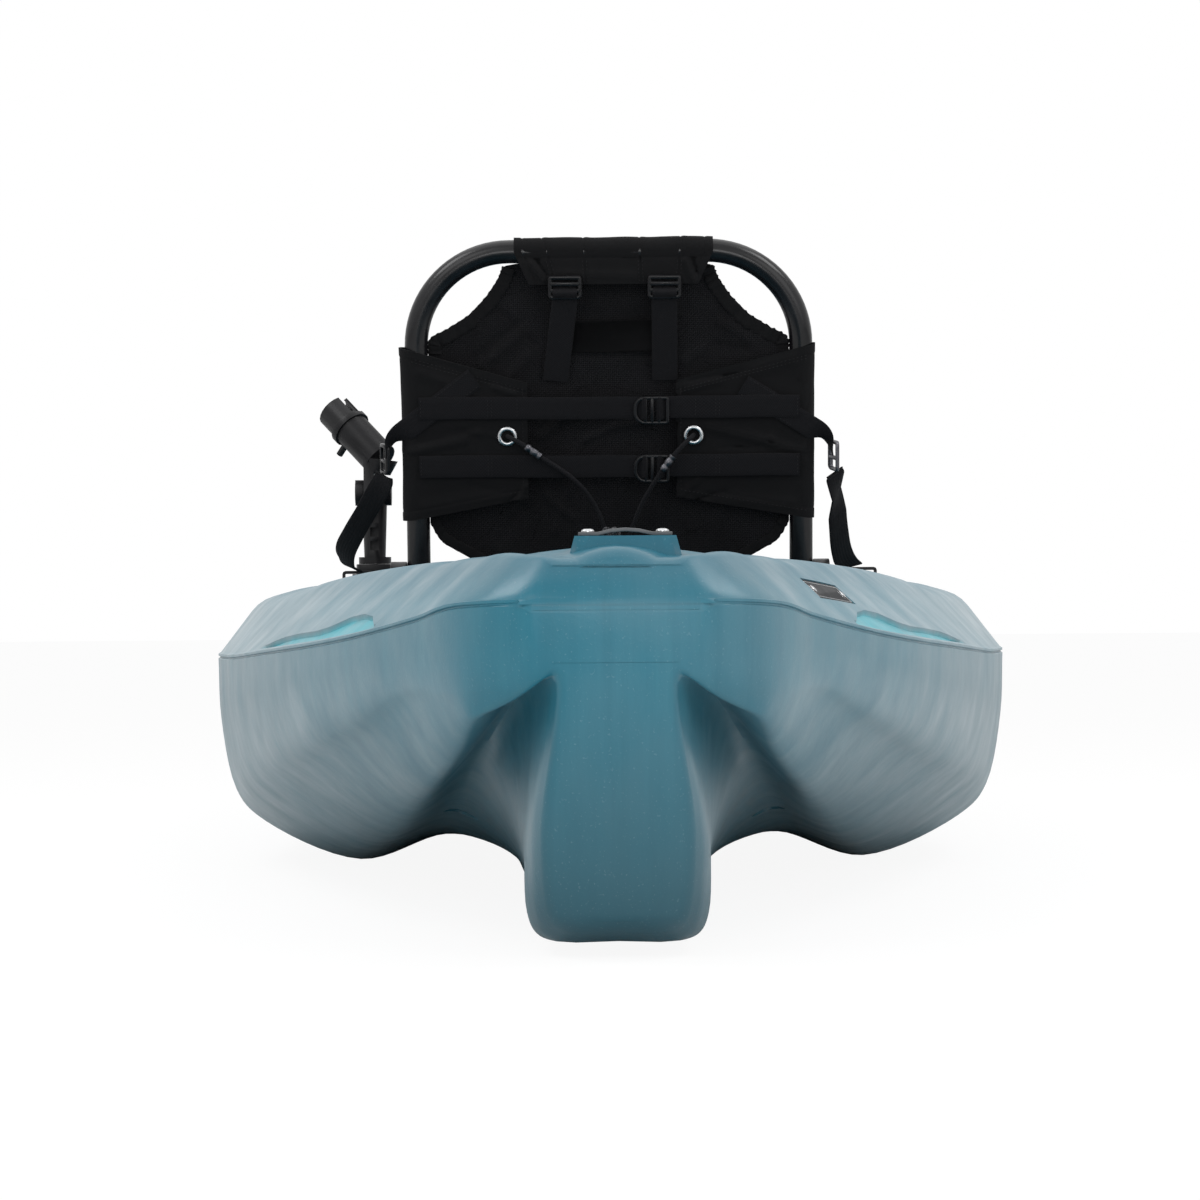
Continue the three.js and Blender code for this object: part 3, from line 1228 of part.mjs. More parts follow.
// Rod holder: a foot in the port track's slot, a swivelling post, a tilting head with its tube, and a knob.
const rodX = -trackPlace;
const rodFoot = trackTop + seatGap;
const rodTop = rodFoot + rodBase[2];
const postFoot = rodTop + seatGap;
const tiltHeight = postFoot + tiltRise;
const recessStart = postFoot + swivelHeight + recessRise;
function makeRodBase() {
  const low = [rodX - rodBase[0] / 2, rodPlace - rodBase[1] / 2];
  const high = [rodX + rodBase[0] / 2, rodPlace + rodBase[1] / 2];
  const slotTop = trackTop - slotLip - seatGap;
  const foot = (half, z0, z1) =>
    block([rodX - half, low[1] + rodBaseCorner, z0], [rodX + half, high[1] - rodBaseCorner, z1]);
  return slab('z', roundedBox(low, high, rodBaseCorner), rodFoot, rodTop)
    .add(foot(slotMouth / 2 - seatGap, slotTop - slotHeight / 2, rodFoot + rodBase[2] / 2))
    .add(foot(slotWidth / 2 - seatGap, trackTop - slotLip - slotHeight + seatGap, slotTop));
}
addPart(kayak, 'rod_holder_base', makeRodBase(), blackPlastic);

const lugFace = rodX; // the two lugs meet over the middle of the track
function makePost() {
  const neck = postFoot + swivelHeight;
  const [low, high] = postRadii;
  const axis = (x) => [x, rodPlace, tiltHeight];
  let body = bar([rodX, rodPlace, postFoot], [rodX, rodPlace, neck], swivelRadius, fineSides)
    .add(bar([rodX, rodPlace, neck - cutOverrun], [rodX, rodPlace, tiltHeight], low, fineSides, high))
    .add(bar(axis(lugFace), axis(lugFace + postLugWidth), lugRadius, fineSides));
  const slot = tiltHeight - lugRadius - cutOverrun;
  const reach = 2 * high;
  body = body.subtract(
    block([lugFace - reach, rodPlace - reach, slot], [lugFace, rodPlace + reach, tiltHeight + reach]),
  );
  for (let i = 0; i < recessCount; i++) {
    const foot = recessStart + i * recessPitch;
    const face = rodPlace - low;
    const cut = block(
      [rodX - recessWidth / 2, face - reach, foot],
      [rodX + recessWidth / 2, face + recessDepth, foot + recessHeight],
    );
    body = body.subtract(cut);
  }
  return body.subtract(bar(axis(lugFace - reach), axis(lugFace + reach), tiltBoltRadius + seatGap));
}
addPart(kayak, 'rod_holder_post', makePost(), blackPlastic);

function makeRodHead() {
  const seat = [rodX + holderSeat[0], tiltHeight + holderSeat[1]];
  const start = new THREE.Vector3(seat[0], rodPlace, seat[1]);
  const aim = new THREE.Vector3(...holderAimShares).normalize();
  const rise = new THREE.Vector3(0, 0, 1).addScaledVector(aim, -aim.z).normalize();
  const along = (out, up = 0) => start.clone().addScaledVector(aim, out).addScaledVector(rise, up).toArray();
  const outer = lugFace - seatGap;
  const lugMiddle = outer - headLugWidth / 2;
  const axis = (x) => [x, rodPlace, tiltHeight];
  const neckFoot = [seat[0] - cutOverrun, rodPlace, tiltHeight + neckRise];
  let body = bar(axis(outer - headLugWidth), axis(outer), lugRadius, fineSides)
    .add(
      block(
        [outer - headLugWidth, rodPlace - neckRadius, tiltHeight],
        [outer, rodPlace + neckRadius, seat[1]],
      ),
    )
    .add(bar(neckFoot, along(0), neckRadius, roundSides, holderRadius))
    .add(bar(along(0), along(holderLength), holderRadius, fineSides))
    .add(bar(along(holderCollarPlace), along(holderCollarPlace + holderCollarWidth), holderCollar, fineSides))
    .add(
      bar(
        along(holderCollarPlace - hookRadius, -holderRadius + hookRadius),
        along(holderCollarPlace - hookRadius, -holderRadius - hookLength),
        hookRadius,
        8,
      ),
    );
  body = body.subtract(bar(along(holderLength - holderBoreDepth), along(holderLength + cutOverrun), holderBore, fineSides));
  const notch = [along(holderLength - holderNotchDepth, holderRadius), along(holderLength + cutOverrun, holderRadius)];
  body = body.subtract(bar(...notch, holderNotch, 8));
  return body.subtract(bar(axis(lugMiddle - lugRadius), axis(lugMiddle + lugRadius), tiltBoltRadius + seatGap));
}
addPart(kayak, 'rod_holder_head', makeRodHead(), blackPlastic);

function makeKnob() {
  const face = lugFace - headLugWidth - 2 * seatGap;
  const at = (x) => [x, rodPlace, tiltHeight];
  const wing = block(
    [face - knobWidth, rodPlace - knobWingWidth / 2, tiltHeight - knobWing / 2],
    [face - seatGap, rodPlace + knobWingWidth / 2, tiltHeight + knobWing / 2],
  );
  return bar(at(face - knobWidth), at(face), knobRadius, fineSides)
    .add(bar(at(face - knobWidth / 2), at(lugFace + postLugWidth), tiltBoltRadius))
    .add(wing);
}
addPart(kayak, 'rod_holder_knob', makeKnob(), blackPlastic);

export default kayak;
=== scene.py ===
import math
from bisect import bisect_left

import bmesh
import bpy
from mathutils import Matrix, Vector, noise


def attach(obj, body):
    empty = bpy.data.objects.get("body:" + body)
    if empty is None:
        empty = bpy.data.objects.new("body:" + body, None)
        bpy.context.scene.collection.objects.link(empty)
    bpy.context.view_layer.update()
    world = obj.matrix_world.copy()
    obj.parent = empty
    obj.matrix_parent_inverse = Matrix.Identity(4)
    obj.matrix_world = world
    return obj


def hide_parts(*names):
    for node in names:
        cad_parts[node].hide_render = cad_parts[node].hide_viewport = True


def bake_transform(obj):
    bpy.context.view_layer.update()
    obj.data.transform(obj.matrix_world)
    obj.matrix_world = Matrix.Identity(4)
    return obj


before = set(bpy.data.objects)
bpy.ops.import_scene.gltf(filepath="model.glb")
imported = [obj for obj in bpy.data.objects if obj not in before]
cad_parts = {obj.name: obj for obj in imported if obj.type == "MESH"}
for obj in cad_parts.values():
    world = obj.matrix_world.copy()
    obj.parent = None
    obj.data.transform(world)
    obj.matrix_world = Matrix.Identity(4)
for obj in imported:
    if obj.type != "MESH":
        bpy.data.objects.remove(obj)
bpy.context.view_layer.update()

mm = 0.001
seatLean = math.radians(9)  # how far the seat's back leans astern
bothSides = (("port", -1), ("starboard", 1))

# camera

cameraPlace = {
    "x": -19, "y": -5952, "height": 299,  # mm, level with the deck, 4.2 m behind the stern
    "lens": 155.6, "shift": (7 / 1200, -6 / 1200), "roll": 0.45,
}


def setCamera():
    data = bpy.data.cameras.new("photoCamera")
    data.lens = cameraPlace["lens"]
    data.sensor_width = 36
    data.shift_x, data.shift_y = cameraPlace["shift"]
    data.clip_end = 100
    camera = bpy.data.objects.new("photoCamera", data)
    bpy.context.scene.collection.objects.link(camera)
    camera.location = Vector((cameraPlace["x"], cameraPlace["y"], cameraPlace["height"])) * mm
    camera.rotation_euler = (math.radians(90), math.radians(cameraPlace["roll"]), 0)
    bpy.context.scene.camera = camera


setCamera()
print("camera placed behind the stern")

# shared modelling helpers, all sizes in mm


def clamp(value, low, high):
    return max(low, min(high, value))


def mix(a, b, share):
    return a + (b - a) * share


def smooth(share):
    share = clamp(share, 0, 1)
    return share * share * (3 - 2 * share)


def tableCurve(places, values):  # passes through its points and never overshoots them
    steps = [b - a for a, b in zip(places, places[1:])]
    slopes = [(b - a) / step for a, b, step in zip(values, values[1:], steps)]
    tangents = [slopes[0]]
    for i in range(1, len(values) - 1):
        if slopes[i - 1] * slopes[i] <= 0:
            tangents.append(0)
            continue
        before = 2 * steps[i] + steps[i - 1]
        after = steps[i] + 2 * steps[i - 1]
        tangents.append((before + after) / (before / slopes[i - 1] + after / slopes[i]))
    tangents.append(slopes[-1])

    def read(place):
        at = clamp(place, places[0], places[-1])
        i = max(0, bisect_left(places, at) - 1)
        t = (at - places[i]) / steps[i]
        rise = t * t * (3 - 2 * t)
        return (mix(values[i], values[i + 1], rise) + steps[i] * t * (1 - t) ** 2 * tangents[i]
                + steps[i] * t * t * (t - 1) * tangents[i + 1])

    return read


def straightTable(points):  # a value read off straight runs between its points
    places = [p[0] for p in points]

    def read(place):
        at = clamp(place, places[0], places[-1])
        i = max(0, bisect_left(places, at) - 1)
        (a, low), (b, high) = points[i], points[i + 1]
        return mix(low, high, (at - a) / (b - a))

    return read


def finishPiece(name, bm, material, body, slotName, replaced=(), sharp=38, turned=None):
    # mesh in mm to an object in metres, smooth but for edges steeper than sharp
    if turned is not None:
        bmesh.ops.transform(bm, matrix=turned, verts=bm.verts)
    bmesh.ops.scale(bm, vec=(mm, mm, mm), verts=bm.verts)
    for face in bm.faces:
        face.smooth = True
    for edge in bm.edges:
        if len(edge.link_faces) == 2:
            edge.smooth = edge.calc_face_angle(0) < math.radians(sharp)
    mesh = bpy.data.meshes.new(name)
    bm.to_mesh(mesh)
    bm.free()
    mesh.materials.append(material)
    piece = bpy.data.objects.new(name, mesh)
    bpy.context.scene.collection.objects.link(piece)
    if body:
        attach(piece, body)
    if replaced:
        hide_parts(*replaced)
    return piece


def gridMesh(columns, rows, place, size=(1, 1)):
    # a grid whose corners are moved by place(column share, row share); its UV map is in metres
    bm = bmesh.new()
    layer = bm.loops.layers.uv.new("UVMap")
    bmesh.ops.create_grid(bm, x_segments=columns, y_segments=rows, size=0.5, calc_uvs=True)
    for vert in bm.verts:
        vert.co = place(vert.co.x + 0.5, vert.co.y + 0.5)
    for face in bm.faces:
        for loop in face.loops:
            loop[layer].uv.x *= size[0] * mm
            loop[layer].uv.y *= size[1] * mm
    return bm


def pathLength(points):
    return sum((b - a).length for a, b in zip(points, points[1:]))


def smoothPath(points, steps):  # Catmull-Rom through the points
    stops = [Vector(p) for p in points]
    found = []
    for i in range(len(stops) - 1):
        p0 = stops[i - 1] if i else stops[0] * 2 - stops[1]
        p3 = stops[i + 2] if i + 2 < len(stops) else stops[-1] * 2 - stops[-2]
        p1, p2 = stops[i], stops[i + 1]
        for n in range(steps):
            t = n / steps
            found.append(0.5 * (2 * p1 + (p2 - p0) * t + (2 * p0 - 5 * p1 + 4 * p2 - p3) * t * t
                                + (3 * p1 - p0 - 3 * p2 + p3) * t ** 3))
    found.append(stops[-1])
    return found


def bentPath(corners, radius, steps=8):  # straight runs joined by arcs
    stops = [Vector(c) for c in corners]
    found = [stops[0]]
    for before, corner, after in zip(stops, stops[1:], stops[2:]):
        back, on = (before - corner).normalized(), (after - corner).normalized()
        half = back.angle(on) / 2
        middle = corner + (back + on).normalized() * (radius / math.sin(half))
        first = corner + back * (radius / math.tan(half)) - middle
        second = corner + on * (radius / math.tan(half)) - middle
        turn = first.angle(second)
        for n in range(steps + 1):
            share = n / steps
            found.append(middle + first * (math.sin(turn * (1 - share)) / math.sin(turn))
                         + second * (math.sin(turn * share) / math.sin(turn)))
    found.append(stops[-1])
    return found


def ring(radius, sides=24):
    return [(radius * math.cos(2 * math.pi * i / sides), radius * math.sin(2 * math.pi * i / sides))
            for i in range(sides)]


def band(width, thickness, corner=None):  # flat strap section with rounded edges
    r = corner or thickness / 2
    w, t = width / 2 - r, thickness / 2 - r
    found = []
    for cx, cy, start in ((w, t, 0), (-w, t, 90), (-w, -t, 180), (w, -t, 270)):
        for n in range(3):
            angle = math.radians(start + 45 * n)
            found.append((cx + r * math.cos(angle), cy + r * math.sin(angle)))
        if start == 0:
            found += [(w * s, t + r) for s in (0.5, 0, -0.5)]
        if start == 180:
            found += [(w * s, -t - r) for s in (-0.5, 0, 0.5)]
    return found


def sweep(path, section, acrosses=None, closed=False, scales=None):
    # a closed section carried along a path; acrosses give the section's first direction
    path = [Vector(p) for p in path]
    if closed:
        path = path + [path[0]]
    last = len(path) - 1
    frames = []
    carried = None
    for j, point in enumerate(path):
        ahead = path[1] if closed and j == last else path[min(j + 1, last)]
        behind = path[last - 1] if closed and j == 0 else path[max(j - 1, 0)]
        along = (ahead - behind).normalized()
        if acrosses is not None:
            side = Vector(acrosses[j % len(acrosses)] if len(acrosses) > 1 else acrosses[0])
        elif carried is None:
            side = along.orthogonal()
        else:
            side = carried
        side = (side - along * side.dot(along)).normalized()
        carried = side
        frames.append((point, side, along.cross(side)))
    count = len(section)
    outline = [Vector(p) for p in section]
    around = sum((outline[i] - outline[i - 1]).length for i in range(count))

    def place(u, v):
        i, j = round(u * count) % count, round(v * last)
        point, side, up = frames[j]
        a, b = section[i]
        scale = scales[j] if scales else 1
        return point + (side * a + up * b) * scale

    bm = gridMesh(count, last, place, (around, pathLength(path)))
    bmesh.ops.remove_doubles(bm, verts=bm.verts, dist=1e-4)
    if not closed:
        edges = [e for e in bm.edges if e.is_boundary]
        bmesh.ops.holes_fill(bm, edges=edges, sides=0)
    bmesh.ops.recalc_face_normals(bm, faces=bm.faces)
    return bm


def turnedMesh(profile, place, axis=(0, 0, 1), steps=40):  # profile of (radius, height) spun round an axis
    bm = bmesh.new()
    stops = [bm.verts.new((r, 0, h)) for r, h in profile]
    edges = [bm.edges.new(pair) for pair in zip(stops, stops[1:])]
    bmesh.ops.spin(bm, geom=stops + edges, cent=(0, 0, 0), axis=(0, 0, 1), angle=2 * math.pi,
                   steps=steps, use_merge=True)
    bmesh.ops.remove_doubles(bm, verts=bm.verts, dist=1e-4)
    bmesh.ops.recalc_face_normals(bm, faces=bm.faces)
    turn = Vector((0, 0, 1)).rotation_difference(Vector(axis)).to_matrix().to_4x4()
    bmesh.ops.transform(bm, matrix=Matrix.Translation(place) @ turn, verts=bm.verts)
    return bm


def bevelEdges(bm, edges, offset, segments, clamped=True):
    bmesh.ops.bevel(bm, geom=edges, offset=offset, offset_type="OFFSET", segments=segments, affect="EDGES",
                    profile=0.5, material=-1, clamp_overlap=clamped)


def roundedBlock(low, high, corner, steps=3):  # a box with all its edges rounded
    bm = bmesh.new()
    bmesh.ops.create_cube(bm, size=1)
    low, high = Vector(low), Vector(high)
    for vert in bm.verts:
        vert.co = Vector([mix(low[n], high[n], vert.co[n] + 0.5) for n in range(3)])
    bevelEdges(bm, bm.edges[:], corner, steps)
    return bm


def joined(target, *others):  # several meshes in one
    for other in others:
        mesh = bpy.data.meshes.new("joining")
        other.to_mesh(mesh)
        other.free()
        target.from_mesh(mesh)
        bpy.data.meshes.remove(mesh)
    return target


def softCopy(node, material, slotName, body, bevel):
    # a CAD node's own shape with its edges eased
    bm = bmesh.new()
    bm.from_mesh(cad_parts[node].data)
    bmesh.ops.transform(bm, matrix=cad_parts[node].matrix_world, verts=bm.verts)
    bmesh.ops.scale(bm, vec=(1000, 1000, 1000), verts=bm.verts)
    bmesh.ops.remove_doubles(bm, verts=bm.verts, dist=0.005)
    bmesh.ops.dissolve_limit(bm, angle_limit=math.radians(1), verts=bm.verts, edges=bm.edges)
    edges = [e for e in bm.edges if len(e.link_faces) == 2 and e.calc_face_angle(0) > math.radians(31)]
    bevelEdges(bm, edges, bevel, 2)
    parts = node.split("_")
    name = parts[0] + "".join(p.title() for p in parts[1:])
    return finishPiece(name, bm, material, body, slotName, (node,))


# materials


def newMaterial(name, colour, roughness, **settings):
    material = bpy.data.materials.new(name)
    material.use_nodes = True
    tree = material.node_tree
    shader = tree.nodes["Principled BSDF"]
    shader.inputs["Base Color"].default_value = (*colour, 1)
    shader.inputs["Roughness"].default_value = roughness
    for key, value in settings.items():
        shader.inputs[key].default_value = value
    return material, tree, shader


def addNode(tree, kind, inputs=None, **settings):
    node = tree.nodes.new("ShaderNode" + kind)
    for key, value in settings.items():
        setattr(node, key, value)
    for key, value in (inputs or {}).items():
        if isinstance(value, bpy.types.NodeSocket):
            tree.links.new(value, node.inputs[key])
        else:
            node.inputs[key].default_value = value
    return node


def coordinates(tree, scale=(1, 1, 1), turn=(0, 0, 0), kind="Object"):
    source = addNode(tree, "TexCoord")
    inputs = {"Vector": source.outputs[kind], "Scale": scale, "Rotation": turn}
    return addNode(tree, "Mapping", inputs).outputs[0]


def noiseOn(tree, vector, scale, detail=3, roughness=0.5):
    return addNode(tree, "TexNoise", {"Vector": vector, "Scale": scale, "Detail": detail,
                                      "Roughness": roughness}).outputs["Fac"]


def ranged(tree, value, low, high, toLow, toHigh):
    return addNode(tree, "MapRange", {"Value": value, "From Min": low, "From Max": high,
                                      "To Min": toLow, "To Max": toHigh}).outputs["Result"]


def mixColour(tree, share, a, b, kind="MIX"):
    node = addNode(tree, "Mix", data_type="RGBA", blend_type=kind)
    for socket, value in zip((node.inputs[0], node.inputs[6], node.inputs[7]), (share, a, b)):
        if isinstance(value, bpy.types.NodeSocket):
            tree.links.new(value, socket)
        else:
            socket.default_value = value if isinstance(value, (int, float)) else (*value, 1)
    return node.outputs[2]


def calc(tree, kind, *values):
    node = addNode(tree, "Math", operation=kind)
    for socket, value in zip(node.inputs, values):
        if isinstance(value, bpy.types.NodeSocket):
            tree.links.new(value, socket)
        else:
            socket.default_value = value
    return node.outputs[0]


def feed(tree, shader, name, value):
    tree.links.new(value, shader.inputs[name])


def bumpOn(tree, shader, height, strength, distance):
    bump = addNode(tree, "Bump", {"Height": height, "Strength": strength, "Distance": distance})
    feed(tree, shader, "Normal", bump.outputs[0])


hullFinish = {
    # the colour the teal pales to outboard is a painted sheen on the hull's sides
    "teal": (0.016, 0.165, 0.235), "grey": (0.2, 0.29, 0.33), "deep": (0.008, 0.11, 0.165),
    # the low colour is painted shade for the tunnels under the hull
    "low": (0.035, 0.085, 0.108), "turquoise": (0.02, 0.4, 0.48), "streak": (0.05, 0.24, 0.31),
    "roughness": (0.28, 0.44), "pale": (0.07, 0.41),  # metres from the middle over which the teal pales into a painted sheen
}


def makeHullPlastic():
    material, tree, shader = newMaterial("hullPlastic", hullFinish["teal"], 0.38)
    shader.inputs["Specular IOR Level"].default_value = 0.38
    place = coordinates(tree)
    axes = addNode(tree, "SeparateXYZ", {"Vector": place})
    out = calc(tree, "ABSOLUTE", axes.outputs[0])
    cloud = noiseOn(tree, coordinates(tree, (2.2, 0.9, 1.4)), 2.4, 4)
    # painted sheen: the teal pales towards the outboard sides, while the cloud adds the moulded blend's swirl
    sheenOutboard = ranged(tree, out, *hullFinish["pale"], 0, 1)
    share = calc(tree, "ADD", sheenOutboard, ranged(tree, cloud, 0.3, 0.7, -0.2, 0.2))
    share = addNode(tree, "Clamp", {"Value": share}).outputs[0]
    base = mixColour(tree, share, hullFinish["teal"], hullFinish["grey"])
    streaks = noiseOn(tree, coordinates(tree, (30, 9, 1.6)), 4, 5, 0.6)  # runs of colour down the sides
    base = mixColour(tree, ranged(tree, streaks, 0.48, 0.72, 0, 0.2), base, hullFinish["streak"])
    dark = noiseOn(tree, coordinates(tree, (21, 4, 0.9)), 3.1, 4)
    base = mixColour(tree, ranged(tree, dark, 0.5, 0.8, 0, 0.32), base, hullFinish["deep"])
    shadeByHeight = ranged(tree, axes.outputs[2], 0.02, 0.24, 0.8, 0)
    shadeByWidth = ranged(tree, out, 0.1, 0.4, 1, 0.25)
    low = calc(tree, "MULTIPLY", shadeByHeight, shadeByWidth)  # painted shade: darker low down and near the middle, in the tunnels under the hull
    base = mixColour(tree, low, base, hullFinish["low"])
    deck = ranged(tree, axes.outputs[2], 0.29, 0.32, 0, 0.6)
    base = mixColour(tree, deck, base, hullFinish["deep"])
    grain = noiseOn(tree, place, 420, 2)
    base = mixColour(tree, ranged(tree, grain, 0.64, 0.74, 0, 0.08), base, (0.5, 0.66, 0.7))
    inside = addNode(tree, "Attribute", attribute_name="recess").outputs["Fac"]
    worn = ranged(tree, noiseOn(tree, place, 26, 3), 0.3, 0.6, 0.55, 1)
    base = mixColour(tree, calc(tree, "MULTIPLY", inside, worn), base, hullFinish["turquoise"])
    feed(tree, shader, "Base Color", base)
    wear = noiseOn(tree, place, 14, 4)
    feed(tree, shader, "Roughness", ranged(tree, wear, 0.3, 0.7, *hullFinish["roughness"]))
    peel = calc(tree, "ADD", noiseOn(tree, place, 55, 3), calc(tree, "MULTIPLY", grain, 0.25))
    bumpOn(tree, shader, peel, 0.35, 0.0009)
    return material


def makeMoulded(name, colour, roughness, grain=900, strength=0.25):  # fine-grained moulded plastic
    material, tree, shader = newMaterial(name, colour, roughness)
    shader.inputs["Specular IOR Level"].default_value = 0.22
    place = coordinates(tree)
    wear = noiseOn(tree, place, 30, 4)
    pale = tuple(c * 1.9 + 0.004 for c in colour)
    feed(tree, shader, "Base Color", mixColour(tree, ranged(tree, wear, 0.4, 0.75, 0, 0.5), colour, pale))
    feed(tree, shader, "Roughness", ranged(tree, wear, 0.3, 0.7, roughness - 0.08, roughness + 0.1))
    bumpOn(tree, shader, noiseOn(tree, place, grain, 2), strength, 0.0003)
    return material


def makeTube():  # satin powder coat
    material, tree, shader = newMaterial("tubeCoat", (0.006, 0.006, 0.007), 0.24)
    shader.inputs["Specular IOR Level"].default_value = 0.34
    place = coordinates(tree)
    wear = noiseOn(tree, place, 24, 4)
    worn = ranged(tree, wear, 0.45, 0.75, 0, 0.6)
    feed(tree, shader, "Base Color", mixColour(tree, worn, (0.005, 0.005, 0.006), (0.012, 0.012, 0.014)))
    feed(tree, shader, "Roughness", ranged(tree, wear, 0.3, 0.7, 0.18, 0.3))
    bumpOn(tree, shader, noiseOn(tree, place, 650, 2), 0.12, 0.0002)
    return material


def weaveHeight(tree, vector, pitch, second="Z"):  # over and under threads of one pitch
    scale = 0.314159 / (pitch * mm)
    one = addNode(tree, "TexWave", {"Vector": vector, "Scale": scale}, bands_direction="X").outputs["Fac"]
    two = addNode(tree, "TexWave", {"Vector": vector, "Scale": scale}, bands_direction=second).outputs["Fac"]
    swap = addNode(tree, "TexChecker", {"Vector": vector, "Scale": 1 / (pitch * mm)}).outputs["Fac"]
    node = addNode(tree, "Mix", {0: swap, 2: one, 3: two})
    return node.outputs[0]


def makeCloth(name, dark, pale, pitch, turn, strength, kind="Object", second="Z", depth=0.0004):
    roughness = 0.88
    material, tree, shader = newMaterial(name, dark, roughness)
    shader.inputs["Sheen Weight"].default_value = 0.02
    shader.inputs["Sheen Roughness"].default_value = 0.4
    shader.inputs["Specular IOR Level"].default_value = 0.12
    vector = coordinates(tree, turn=turn, kind=kind)
    weave = weaveHeight(tree, vector, pitch, second)
    worn = noiseOn(tree, coordinates(tree, kind=kind), 18, 4)
    share = calc(tree, "MULTIPLY", weave, ranged(tree, worn, 0.3, 0.7, 0.35, 1))
    feed(tree, shader, "Base Color", mixColour(tree, share, dark, pale))
    feed(tree, shader, "Roughness", ranged(tree, worn, 0.3, 0.7, roughness - 0.08, roughness + 0.08))
    bumpOn(tree, shader, weave, strength, depth)
    return material


def makeMetal(name, colour, roughness):
    material, tree, shader = newMaterial(name, colour, roughness, Metallic=1.0)
    place = coordinates(tree)
    rub = noiseOn(tree, coordinates(tree, (60, 400, 60)), 6, 3)
    feed(tree, shader, "Roughness", ranged(tree, rub, 0.3, 0.7, roughness - 0.08, roughness + 0.12))
    dull = tuple(c * 0.7 for c in colour)
    worn = ranged(tree, noiseOn(tree, place, 120, 3), 0.4, 0.8, 0, 0.6)
    feed(tree, shader, "Base Color", mixColour(tree, worn, colour, dull))
    return material


leanTurn = (-seatLean, 0, 0)
hullPlastic = makeHullPlastic()
blackPlastic = makeMoulded("blackPlastic", (0.006, 0.006, 0.007), 0.4)
glossBlack = makeMoulded("glossBlack", (0.005, 0.005, 0.006), 0.26, 500, 0.1)
rubber = makeMoulded("blackRubber", (0.008, 0.008, 0.008), 0.75, 500, 0.4)
greyStrap = makeMoulded("greyStrap", (0.12, 0.125, 0.13), 0.45, 700, 0.4)
paleLine = makeMoulded("paleLine", (0.5, 0.51, 0.52), 0.5)
plateFace = makeMoulded("plateFace", (0.012, 0.013, 0.015), 0.62)
tubeCoat = makeTube()
meshThread = ((0.0025, 0.0025, 0.003), (0.02, 0.02, 0.022), 2.1)  # dark, pale and the pitch in mm
seatMesh = makeCloth("seatMesh", *meshThread, leanTurn, 0.9, depth=0.0006)
baseMesh = makeCloth("baseMesh", *meshThread, (0, 0, 0), 0.9, second="Y", depth=0.0006)
seatCloth = makeCloth("seatCloth", (0.005, 0.005, 0.0055), (0.011, 0.011, 0.012), 0.8, leanTurn, 0.3)
slanted = (0, 0, math.radians(45))
webbing = makeCloth("webbing", (0.005, 0.005, 0.006), (0.014, 0.014, 0.016), 1.2, slanted, 0.4, "UV", "Y")
cordBraid = makeCloth("cordBraid", (0.004, 0.004, 0.005), (0.026, 0.026, 0.029), 1.6, slanted, 0.8, "UV", "Y")
knotBraid = makeCloth("knotBraid", (0.006, 0.006, 0.007), (0.12, 0.12, 0.13), 2.2, slanted, 0.8, "UV", "Y")
thread = makeMoulded("thread", (0.012, 0.012, 0.013), 0.8)
brightSteel = makeMetal("brightSteel", (0.5, 0.51, 0.52), 0.24)
darkSteel = makeMetal("darkSteel", (0.1, 0.1, 0.11), 0.36)
print("materials made")

# hull

